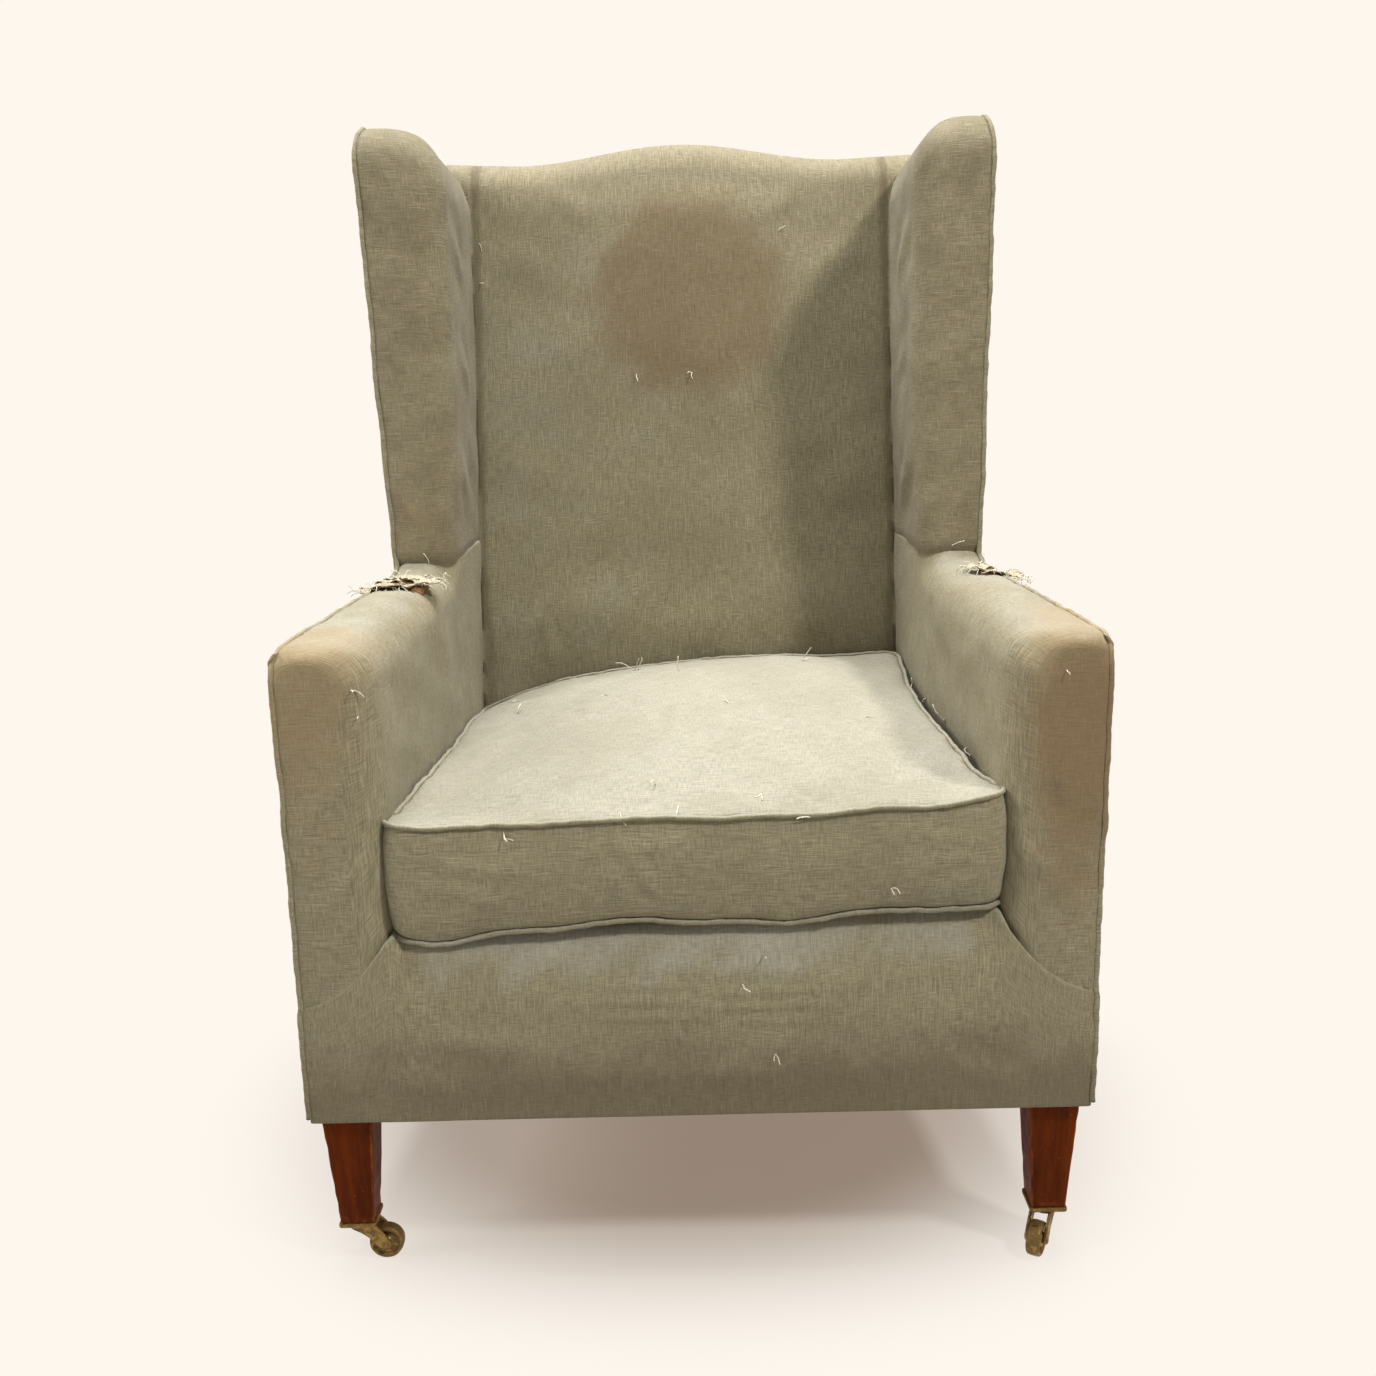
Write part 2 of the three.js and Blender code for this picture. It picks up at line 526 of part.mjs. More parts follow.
// A slab on the outer surface of an arm or wing, from thick mm inside that surface to proud mm outside it.
const coverSlab = (side, thick, proud, lift, shape) => slant(
  alongX(outline(shape), side > 0 ? OUTER_FRONT - thick : -OUTER_FRONT - proud,
    side > 0 ? OUTER_FRONT + proud : -OUTER_FRONT + thick),
  { xByDepth: side * OUTER_TAPER, xByHeight: side * lift, height: WING_BOTTOM });

const coverRear = (z) => postFront(z) + POST_DEEP - 1;

function sideCoverOutline(clear) {
  const inset = 6 - clear;
  const bottom = BODY_BOTTOM - clear;
  return [[inset, bottom], [KNEE_BACK - 1, bottom], [KNEE_BACK - 1, POST_KNEE + 20],
    [coverRear(WING_BOTTOM), WING_BOTTOM - 5], [WING_FRONT, armTop(WING_FRONT) - 18 + clear],
    [inset, armTop(6) - 18 + clear]];
}

function wingCoverOutline(clear) {
  const inset = 6 - clear;
  const bottom = WING_BOTTOM - 4.7 + (clear ? -3 : 0);
  const shoulder = WING_TOP - 53;
  return [[wingFront(WING_BOTTOM) + inset, bottom], [wingFront(shoulder) + inset, shoulder, 10],
    [wingFront(WING_TOP) + 30, WING_TOP - 25 + clear, 10], [640, WING_TOP - 37 + clear],
    [coverRear(shoulder), shoulder], [coverRear(WING_BOTTOM), bottom]];
}

function buildSide(hand, side) {
  const groove = pipingGroove(side);
  const coverSpace = toSolid(coverSlab(side, COVER + GAP, 5, 0, sideCoverOutline(GAP)));
  const armFrontWall = 26;
  const x = (a, b) => (side > 0 ? [a, b] : [-b, -a]);

  const armHollow = toSolid(slant(
    box(...x(INNER_FRONT + ARM_WALL, 520), armFrontWall, 700, 100, ARM_RAIL_BOTTOM + ARM_RAIL_TALL + 2),
    { xByDepth: side * HOLLOW_TAPER }));
  const underWing = toSolid(slant(box(...x(INNER_FRONT + ARM_WALL, 520), WING_FRONT + 24, 700, 100, 800),
    { xByDepth: side * HOLLOW_TAPER }));
  const arm = armEnvelope(side).subtract(armHollow).subtract(underWing)
    .subtract(behindBack(1)).subtract(coverSpace).subtract(groove)
    .subtract(toSolid(box(-600, 600, -10, 700, WING_BOTTOM, 800)));
  add(`${hand}_arm_pad`, toGeometry(arm), finishes.linen());

  const wingHollow = toSolid(slant(
    box(...x(innerHalf(BACK_FACE) + 57, 620), WING_FRONT + 26, 900, 500, WING_TOP - 41),
    { xByDepth: side * HOLLOW_TAPER, depthByHeight: WING_LEAN, height: WING_BOTTOM }));
  const backHalf = innerHalf(BACK_FACE) - 1;
  const backBlock = toSolid(slant(box(-backHalf, backHalf, BACK_FACE - 1, 900, 100, 1300), { ...RAKED }));
  const wingSpace = toSolid(coverSlab(side, COVER + GAP, 5, WING_FLARE, wingCoverOutline(2 * GAP)));
  const wing = wingEnvelope(side).subtract(wingHollow).subtract(backBlock)
    .subtract(wingSpace).subtract(groove);
  add(`${hand}_wing_pad`, toGeometry(wing), finishes.linen());

  add(`${hand}_outside_arm`, coverSlab(side, COVER, 0, 0, sideCoverOutline(0)), finishes.linen());
  add(`${hand}_outside_wing`, coverSlab(side, COVER, 0, WING_FLARE, wingCoverOutline(0)), finishes.linen());
  add(`${hand}_piping`, tube(pipingPoints(side), PIPING_RADIUS, 64, 6), finishes.linen());
}

// ---------------------------------------------------------------- back and underside
function buildBack() {
  const half = innerHalf(BACK_FACE) - 1.5;
  const crest = crestPoints(0).reverse();
  const shoulder = POST_TOP + 2;
  const whole = outline([[-half, DECK_LEFT - DECK_THICK], [half, DECK_LEFT - DECK_THICK], [half, shoulder],
    [CREST_HALF, shoulder], ...crest, [-CREST_HALF, shoulder], [-half, shoulder]]);
  const cap = CREST_STUFFING - 1;
  const under = outline([[-CREST_HALF - 20, 0], [CREST_HALF + 20, 0], [CREST_HALF + 20, CREST_END - cap],
    ...crestPoints(cap).reverse(), [-CREST_HALF - 20, CREST_END - cap]]);
  const slab = toSolid(slant(alongY(whole, BACK_FACE, BACK_FACE + BACK_THICK, 1), { ...RAKED }));
  const padBack = BACK_FACE + BACK_PAD - GAP;
  const hollow = toSolid(slant(alongY(under, padBack, BACK_FACE + 300, 1), { ...RAKED }));
  add('inside_back_pad', toGeometry(slab.subtract(hollow)), finishes.linen());

  const webbing = slant(box(-230, 230, FRAME_FRONT + 1.5, FRAME_FRONT + 3.5,
    TACKING_TOP + 10, CREST_RAIL_BOTTOM - 10), { ...RAKED });
  add('back_webbing', webbing, finishes.webbing());

  const knee = KNEE_BACK + GAP;
  const bend = POST_KNEE + 18;
  const top = crestPoints(CREST_STUFFING).filter(([x]) => Math.abs(x) < POST_OUT).reverse();
  const corner = CREST_END - CREST_STUFFING;
  const upper = outline([[-POST_OUT, bend], [POST_OUT, bend], [POST_OUT, corner], ...top,
    [-POST_OUT, corner]]);
  const rear = FRAME_FRONT + POST_DEEP + GAP;
  const cover = toSolid(slant(alongY(upper, rear, rear + COVER, 1), { ...RAKED }))
    .add(toSolid(box(-POST_OUT, POST_OUT, knee, knee + COVER, BODY_BOTTOM, bend + 0.5)));
  add('outside_back', toGeometry(cover), finishes.linen());
}

function buildUnderside() {
  const z = RAIL_BOTTOM - 2 * STRAP_THICK - 3 * GAP;
  const front = LEG_BACK + 3;
  const back = KNEE_FRONT - 3;
  const plan = outline([[-300, front], [300, front], [262, back], [-262, back]]);
  add('dust_cover', alongZ(plan, z - 1.6, z), finishes.hessian());
}

// ---------------------------------------------------------------- castors
const PLATE_SIDE = 36.5;
const PLATE_THICK = 4;
const STEM_RADIUS = 3;
const HORN_TOP = LEG_FOOT - 2 * GAP - PLATE_THICK;
const HORN_THICK = 4.6;

function lathe(profile, segments) {
  const points = profile.map(([r, z]) => new THREE.Vector2(r, z));
  return new THREE.LatheGeometry(points, segments).rotateX(Math.PI / 2);
}

// Each castor is built with its swivel axis at the origin and its wheel trailing towards +X.
function castorPlate() {
  const top = LEG_FOOT - GAP;
  const plate = new THREE.BoxGeometry(PLATE_SIDE, PLATE_SIDE, PLATE_THICK)
    .translate(0, 0, top - PLATE_THICK / 2);
  const head = HORN_TOP - HORN_THICK - GAP;
  const stem = lathe([[0, head - 2], [STEM_RADIUS + 2, head - 1], [STEM_RADIUS + 2, head],
    [STEM_RADIUS, head], [STEM_RADIUS, top - 1], [0, top - 1]], 12);
  return toGeometry(toSolid(plate).add(toSolid(stem)));
}

function castorHorn() {
  const disc = lathe([[0, HORN_TOP - HORN_THICK], [13, HORN_TOP - HORN_THICK], [14.5, HORN_TOP - 1.5],
    [14.5, HORN_TOP], [0, HORN_TOP]], 20);
  const bore = new THREE.CylinderGeometry(STEM_RADIUS + GAP, STEM_RADIUS + GAP, 30, 12)
    .rotateX(Math.PI / 2).translate(0, 0, HORN_TOP);
  const cheek = new THREE.Shape();
  cheek.moveTo(-9, HORN_TOP - 0.5);
  cheek.quadraticCurveTo(-8, HORN_TOP - 9, CASTOR_TRAIL - 10, HORN_TOP - 15);
  cheek.lineTo(CASTOR_TRAIL - 3.5, WHEEL_RADIUS - 4);
  cheek.lineTo(CASTOR_TRAIL + 3.5, WHEEL_RADIUS - 4);
  cheek.lineTo(CASTOR_TRAIL + 5, WHEEL_RADIUS + 1);
  cheek.quadraticCurveTo(CASTOR_TRAIL - 6, HORN_TOP - 3, 10, HORN_TOP - 0.5);
  cheek.closePath();
  const inside = WHEEL_WIDTH / 2 + 0.7;
  const thick = 2.8;
  let horn = toSolid(disc);
  for (const start of [inside, -inside - thick]) {
    const plate = new THREE.ExtrudeGeometry(cheek, { depth: thick, bevelEnabled: false, curveSegments: 5 })
      .rotateX(Math.PI / 2).translate(0, start + thick, 0);
    horn = horn.add(toSolid(plate));
  }
  const axle = new THREE.CylinderGeometry(2.4, 2.4, 2 * (inside + thick) + 1.6, 10)
    .translate(CASTOR_TRAIL, 0, WHEEL_RADIUS);
  return toGeometry(horn.add(toSolid(axle)).subtract(toSolid(bore)));
}

function castorWheel() {
  const w = WHEEL_WIDTH / 2;
  const r = WHEEL_RADIUS;
  const profile = [[2.8, -w], [6, -w], [7.5, -w + 2], [r - 4, -w + 2], [r - 2, -w], [r - 0.8, -w + 0.8],
    [r, -w / 3], [r, w / 3], [r - 0.8, w - 0.8], [r - 2, w], [r - 4, w - 2], [7.5, w - 2], [6, w], [2.8, w],
    [2.8, -w]];
  const points = profile.map(([radius, across]) => new THREE.Vector2(radius, across));
  const wheel = new THREE.LatheGeometry(points, 24).translate(CASTOR_TRAIL, 0, WHEEL_RADIUS);
  return toGeometry(toSolid(wheel));
}

function buildCastors() {
  for (const [hand, side] of SIDES) {
    const plateSpot = new THREE.Group();
    plateSpot.position.set(side * LEG_X, FRONT_Y + LEG_DEPTH, 0);
    const swivel = new THREE.Group();
    swivel.rotation.z = CASTOR_TURN[hand];
    plateSpot.add(swivel);
    add(`${hand}_castor_plate`, castorPlate(), finishes.brass(), plateSpot);
    add(`${hand}_castor_horn`, castorHorn(), finishes.brass(), swivel);
    add(`${hand}_castor_wheel`, castorWheel(), finishes.brass(), swivel);
    chair.add(plateSpot);
  }
}

buildFrame();
buildCornerBlocks();
buildSprings();
buildSeat();
SIDES.forEach(([hand, side]) => buildSide(hand, side));
buildBack();
buildUnderside();
buildCastors();

export default chair;
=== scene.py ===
"""Upholstery, woodwork and brass of an old, sagging wing armchair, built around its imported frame.

Metres, +Z up. The front of the chair faces -Y and +X is on the right of someone facing it.
A depth is measured back from the front plane of the border. The file is laid out as an add-on.
"""
import math

import bpy
import numpy as np
from mathutils import Matrix, Vector
from mathutils.bvhtree import BVHTree


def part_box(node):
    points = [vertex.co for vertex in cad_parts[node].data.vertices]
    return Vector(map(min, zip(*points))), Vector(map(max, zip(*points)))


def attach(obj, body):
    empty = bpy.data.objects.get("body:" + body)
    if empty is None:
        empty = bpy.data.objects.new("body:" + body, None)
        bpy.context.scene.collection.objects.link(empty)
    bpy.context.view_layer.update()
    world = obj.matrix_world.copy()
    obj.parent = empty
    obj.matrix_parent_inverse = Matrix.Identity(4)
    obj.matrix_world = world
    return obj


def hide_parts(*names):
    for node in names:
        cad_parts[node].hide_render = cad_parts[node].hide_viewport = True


bl_info = {
    "name": "Old Wing Armchair",
    "version": (1, 0, 0),
    "blender": (4, 5, 0),
    "location": "View3D > Sidebar > Armchair",
    "description": "Builds the covers, cushion, legs and castors of a worn wing armchair",
    "category": "Object",
}

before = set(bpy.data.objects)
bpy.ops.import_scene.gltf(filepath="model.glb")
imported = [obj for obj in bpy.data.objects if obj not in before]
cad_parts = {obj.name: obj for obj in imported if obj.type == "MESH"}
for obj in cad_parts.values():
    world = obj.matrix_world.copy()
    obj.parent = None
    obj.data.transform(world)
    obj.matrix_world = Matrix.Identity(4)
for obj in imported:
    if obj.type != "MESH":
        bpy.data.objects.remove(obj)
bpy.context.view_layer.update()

MM = 0.001
SIDES = (("left", -1.0), ("right", 1.0))
CORNERS = ((-1, -1), (1, -1), (1, 1), (-1, 1))


# ------------------------------------------------------------------ places taken from the frame
def low(node):
    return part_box(node)[0]


def high(node):
    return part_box(node)[1]


FRONT = low("front_border")[1]
HALF = high("front_border")[0]
BOTTOM = low("front_border")[2]
ARM_JOIN = high("left_arm_pad")[2]
WING_TOP = high("left_wing_pad")[2] + 9 * MM
CREST = high("inside_back_pad")[2] + 9 * MM
BACK_EDGE = high("inside_back_pad")[0]
LEG_X = 0.5 * (low("right_front_leg")[0] + high("right_front_leg")[0])
LEG_DEPTH = 0.5 * (low("right_front_leg")[1] + high("right_front_leg")[1]) - FRONT
LEG_FOOT = low("right_front_leg")[2]
WHEEL_RADIUS = 0.5 * high("left_castor_wheel")[2]

OUTER_TAPER = -0.102      # how the outside narrows with depth
INNER_TAPER = -0.044      # how the seat narrows with depth
INNER_HALF = HALF - 90 * MM
ARM_RISE = 0.042
ARM_FRONT_TOP = ARM_JOIN - 13 * MM
WING_DEPTH = 366 * MM     # depth of the wing's front edge at the arm
WING_LEAN = 0.07
WING_FLARE = 0.032
SPLAY = 0.019             # how much further the left wing has splayed
WING_ROUND = 42 * MM      # radius of the wing's inner front edge, seen from above
WING_FOOT = 9 * MM        # how far the arm's cover climbs the wing
SWEEP = 32 * MM           # over what depth it climbs
ARM_ROUND = 15 * MM       # radius of the arm's outer top edge
SEAT_LEVEL = 486 * MM
BACK_DEPTH = 500 * MM     # depth of the inside back at seat level
BACK_RAKE = 0.17
BACK_THICK = 101.5 * MM
DECK = (347 * MM, 365 * MM)   # height of the deck at its left and right side
KNEE = 416 * MM
CUSHION_DEEP = 490 * MM   # depth of the cushion's back corners
OUTSIDE_BACK_HALF = 291 * MM
COVER_THICK = 2.6 * MM    # outside covers with their turned-in edges
ARRIS = 2.6 * MM          # rounding of the legs' corners
RIPPLE_WAVES = 14         # sine waves that a ripple is the mean of


def outer(depth):
    return HALF + OUTER_TAPER * depth


def inner(depth):
    return INNER_HALF + INNER_TAPER * depth


def arm_top(depth):
    return ARM_FRONT_TOP + ARM_RISE * depth


def wing_front(z):
    return WING_DEPTH + WING_LEAN * (z - ARM_JOIN)


def wing_outer(depth, z, side=1.0):
    return outer(depth) + (WING_FLARE + SPLAY * (side < 0)) * (z - ARM_JOIN)


def wing_face(x):
    """Depth of the wing's front at the arm, where its inner edge is a quarter circle seen from above."""
    across = np.clip((inner(WING_DEPTH) + WING_ROUND - np.abs(x)) / WING_ROUND, 0.0, 1.0)
    return WING_DEPTH + WING_ROUND * (1 - np.sqrt(1 - across * across))


def arm_level(x, depth):
    """Height of the arm's top: its slope, and a sweep up to the wing of foot (1 + gap / sweep)^2.2."""
    gap = depth - wing_face(x)
    return arm_top(depth) + WING_FOOT * np.clip(1 + gap / SWEEP, 0.0, 1.0) ** 2.2


def arm_skin(x, depth):
    """Height of the arm's cover at x, with its outer edge rounded off to a quarter circle."""
    beyond = np.clip((np.abs(x) - outer(depth) + 1 * MM + ARM_ROUND) / ARM_ROUND, 0.0, 0.97)
    return arm_level(x, depth) - ARM_ROUND * (1 - np.sqrt(1 - beyond * beyond))


def back_face(z):
    return BACK_DEPTH + BACK_RAKE * (z - SEAT_LEVEL)


def deck_height(x):
    share = np.clip((x + INNER_HALF) / (2 * INNER_HALF), 0.0, 1.0)
    return DECK[0] + (DECK[1] - DECK[0]) * share


def crest_height(x):
    """Height of the crest at x: a cosine hump in the middle, two dips, and ends that rise a little."""
    reach = 200 * MM
    near = np.minimum(np.abs(x) / reach, 1.0)
    far = np.clip((np.abs(x) - reach) / (BACK_EDGE - reach), 0.0, 1.0)
    return CREST - 22 * MM + 22 * MM * (0.5 + 0.5 * np.cos(np.pi * near)) + 4 * MM * far


# ------------------------------------------------------------------ settings
class ArmchairSizes(bpy.types.PropertyGroup):
    cushion_crown: bpy.props.FloatProperty(
        name="Cushion crown", description="How far the middle of the cushion stands above its edges",
        default=24 * MM, min=0.0, unit="LENGTH")
    cushion_bulge: bpy.props.FloatProperty(
        name="Cushion bulge", description="How far the cushion's border swells between its pipings",
        default=7 * MM, min=0.0, unit="LENGTH")
    piping: bpy.props.FloatProperty(
        name="Piping radius", description="Radius of the covered cord in the seams",
        default=2.5 * MM, min=0.0, unit="LENGTH")
    back_crown: bpy.props.FloatProperty(
        name="Back crown", description="Swell of the inside back",
        default=9 * MM, min=0.0, unit="LENGTH")
    sag: bpy.props.FloatProperty(
        name="Sag", description="How far the cushion has sunk at its front left",
        default=8 * MM, min=0.0, unit="LENGTH")


def colour_property(name, description, default):
    return bpy.props.FloatVectorProperty(
        name=name, description=description, default=default, size=3, min=0.0, max=1.0, subtype="COLOR")


class ArmchairColours(bpy.types.PropertyGroup):
    linen: colour_property("Linen", "Faded sage linen", (0.252, 0.223, 0.142))
    linen_dark: colour_property("Dark thread", "Darker threads of the linen", (0.145, 0.125, 0.078))
    linen_pale: colour_property("Pale thread", "Pale slubs of the linen", (0.40, 0.375, 0.275))
    # also the paler, bluer colour painted on upward faces as top light
    faded_and_top_lit: colour_property("Faded", "Linen bleached by light and rubbing", (0.38, 0.378, 0.333))
    stain: colour_property("Stain", "Old grease and sweat", (0.150, 0.085, 0.036))
    tan: colour_property("Yellowing", "Yellow-brown wear on the arms", (0.315, 0.215, 0.105))
    # the dark colour mixed in low down, and as painted shade under things, in the creases and over the wings
    grime_and_shade: colour_property("Grime", "Dirt low down and in the creases", (0.095, 0.072, 0.040))
    stuffing: colour_property("Stuffing", "Felted stuffing in the tears", (0.34, 0.165, 0.060))
    lining: colour_property("Lining", "Torn beige lining", (0.52, 0.46, 0.34))
    thread: colour_property("Thread", "Loose cream threads", (0.78, 0.73, 0.60))
    mahogany: colour_property("Mahogany", "Varnished wood of the legs", (0.096, 0.0165, 0.0012))
    mahogany_pale: colour_property("Rubbed mahogany", "Wood where the varnish has worn",
                                   (0.21, 0.060, 0.012))
    beech: colour_property("Beech", "Wood of the hidden frame", (0.46, 0.30, 0.16))
    jute: colour_property("Jute", "Hessian and webbing", (0.36, 0.26, 0.13))
    brass: colour_property("Brass", "Brass where it is rubbed", (0.33, 0.21, 0.065))
    tarnish: colour_property("Tarnish", "Brown film on the brass", (0.075, 0.038, 0.014))
    steel: colour_property("Steel", "Spring wire and tacks", (0.24, 0.22, 0.20))
    floor: colour_property("Floor", "Pale floor", (0.30, 0.295, 0.29))
    floor_glow: colour_property("Floor glow", "Light the floor gives of its own", (0.255, 0.20, 0.16))
    backdrop: colour_property("Backdrop", "Colour behind the chair", (0.99, 0.93, 0.855))


def sizes():
    return bpy.context.scene.armchair_sizes


def colours():
    return bpy.context.scene.armchair_colours


# ------------------------------------------------------------------ numpy helpers
def smooth(low_edge, high_edge, value):
    """The cubic 3t^2 - 2t^3 of value between two edges."""
    t = np.clip((value - low_edge) / (high_edge - low_edge), 0.0, 1.0)
    return t * t * (3.0 - 2.0 * t)


def bump_at(points, centre, radii):
    """A Gaussian hill, exp(-r^2), around centre, with one radius for each axis."""
    offset = (points - np.asarray(centre)) / np.asarray(radii)
    return np.exp(-np.sum(offset * offset, axis=-1))


def ripple(points, wavelength, seed, squeeze=(1.0, 1.0, 1.0)):
    """A smooth random field in -1..1: the mean of sines of the position in random directions."""
    draw = np.random.default_rng(seed)
    ways = draw.normal(size=(RIPPLE_WAVES, 3))
    ways /= np.linalg.norm(ways, axis=1, keepdims=True)
    ways *= (2 * np.pi / wavelength) * draw.uniform(0.6, 1.5, size=(RIPPLE_WAVES, 1))
    phases = draw.uniform(0, 2 * np.pi, size=RIPPLE_WAVES)
    turns = (points * np.asarray(squeeze)) @ ways.T + phases
    return np.sin(turns).sum(axis=-1) / math.sqrt(RIPPLE_WAVES * 0.5) * 0.5


def fold(points, start, end, width, height):
    """A soft ridge of that height along the line from start to end, fading out at both ends."""
    start, end = np.asarray(start, float), np.asarray(end, float)
    along = end - start
    share = np.clip((points - start) @ along / (along @ along), 0.0, 1.0)
    nearest = start + share[..., None] * along
    away = np.linalg.norm(points - nearest, axis=-1) / width
    taper = np.sin(np.pi * np.clip(share, 0.02, 0.98)) ** 0.7
    return height * taper * (np.exp(-away * away) - 0.45 * np.exp(-((away - 1.9) ** 2)))


def with_folds(move, points, rows, place):
    """Adds a fold for each row: its start and end as place() takes them, then width and height in mm."""
    for row in rows:
        ends, width, height = row[:-2], row[-2], row[-1]
        start, end = place(*ends[:len(ends) // 2]), place(*ends[len(ends) // 2:])
        move = move + fold(points, start, end, width * MM, height * MM)
    return move


def rounded_loops(corners, radii, arc_steps, edge_steps):
    """Loops with rounded corners: corners (M, K, 2), radii (M, K); each corner is a quarter ellipse.

    A point of a corner is C + A(1 - sin t) + B(1 - cos t), where A and B reach back along its two edges.
    """
    back = np.roll(corners, 1, axis=1) - corners
    ahead = np.roll(corners, -1, axis=1) - corners
    back_length = np.linalg.norm(back, axis=-1, keepdims=True)
    ahead_length = np.linalg.norm(ahead, axis=-1, keepdims=True)
    reach = np.minimum(radii[..., None], 0.49 * np.minimum(back_length, ahead_length))
    start = back / np.maximum(back_length, 1e-9) * reach
    end = ahead / np.maximum(ahead_length, 1e-9) * reach
    turn = np.linspace(0.0, np.pi / 2, arc_steps)[None, :, None]
    pieces = []
    for k in range(corners.shape[1]):
        corner = corners[:, k, None, :]
        arc = corner + start[:, k, None, :] * (1 - np.sin(turn)) + end[:, k, None, :] * (1 - np.cos(turn))
        pieces.append(arc)
        following = (k + 1) % corners.shape[1]
        first = corners[:, k] + end[:, k]
        last = corners[:, following] + start[:, following]
        share = np.linspace(0.0, 1.0, edge_steps[k] + 2)[None, 1:-1, None]
        pieces.append(first[:, None, :] * (1 - share) + last[:, None, :] * share)
    return np.concatenate(pieces, axis=1)


def round_over(distance, radius, inset):
    """Inset of a rounded edge at a distance from its end: inset (1 - sqrt(1 - (1 - t)^2))."""
    t = np.clip(distance / radius, 0.0, 1.0)
    return inset * (1.0 - np.sqrt(np.maximum(1.0 - (1.0 - t) ** 2, 0.0)))


def eased(start, end, fine_start, fine_end, count, share=0.3):
    """Stations from start to end, packed closely over the first and last stretch."""
    lead = max(int(count * share), 3)
    quarter = np.linspace(0.0, np.pi / 2, lead)
    parts = []
    first, last = start, end
    if fine_start > 0:
        parts.append(start + fine_start * (1 - np.cos(quarter))[:-1])
        first = start + fine_start
    if fine_end > 0:
        last = end - fine_end
    parts.append(np.linspace(first, last, max(count - 2 * lead, 4)))
    if fine_end > 0:
        parts.append((last + fine_end * np.sin(quarter))[1:])
    return np.concatenate(parts)


def new_object(name, mesh):
    obj = bpy.data.objects.new(name, mesh)
    bpy.context.scene.collection.objects.link(obj)
    return obj


def build_mesh(name, points, faces, corner_uv=None):
    """A smooth mesh from points (N, 3) and faces (F, 4), where a triangle repeats its last corner."""
    mesh = bpy.data.meshes.new(name)
    faces = np.asarray(faces)
    tri = faces[:, 2] == faces[:, 3]
    counts = np.where(tri, 3, 4)
    keep = np.ones(faces.shape, bool)
    keep[tri, 3] = False
    corners = faces[keep]
    mesh.vertices.add(len(points))
    mesh.vertices.foreach_set("co", np.asarray(points, np.float32).ravel())
    mesh.loops.add(len(corners))
    mesh.loops.foreach_set("vertex_index", corners.astype(np.int32))
    mesh.polygons.add(len(faces))
    starts = np.concatenate([[0], np.cumsum(counts)[:-1]])
    mesh.polygons.foreach_set("loop_start", starts.astype(np.int32))
    mesh.polygons.foreach_set("loop_total", counts.astype(np.int32))
    mesh.polygons.foreach_set("use_smooth", np.ones(len(faces), bool))
    if corner_uv is not None:
        layer = mesh.uv_layers.new(name="UVMap")
        layer.data.foreach_set("uv", corner_uv[keep].astype(np.float32).ravel())
    mesh.update(calc_edges=True)
    mesh.validate()
    return mesh


def signed_volume(points, faces):
    """Six times the volume inside the faces; negative where they point inwards."""
    a, b, c, d = (points[faces[:, k]] for k in range(4))
    first = np.einsum("ij,ij->i", a, np.cross(b, c))
    second = np.einsum("ij,ij->i", a, np.cross(c, d))
    return float(first.sum() + second.sum())


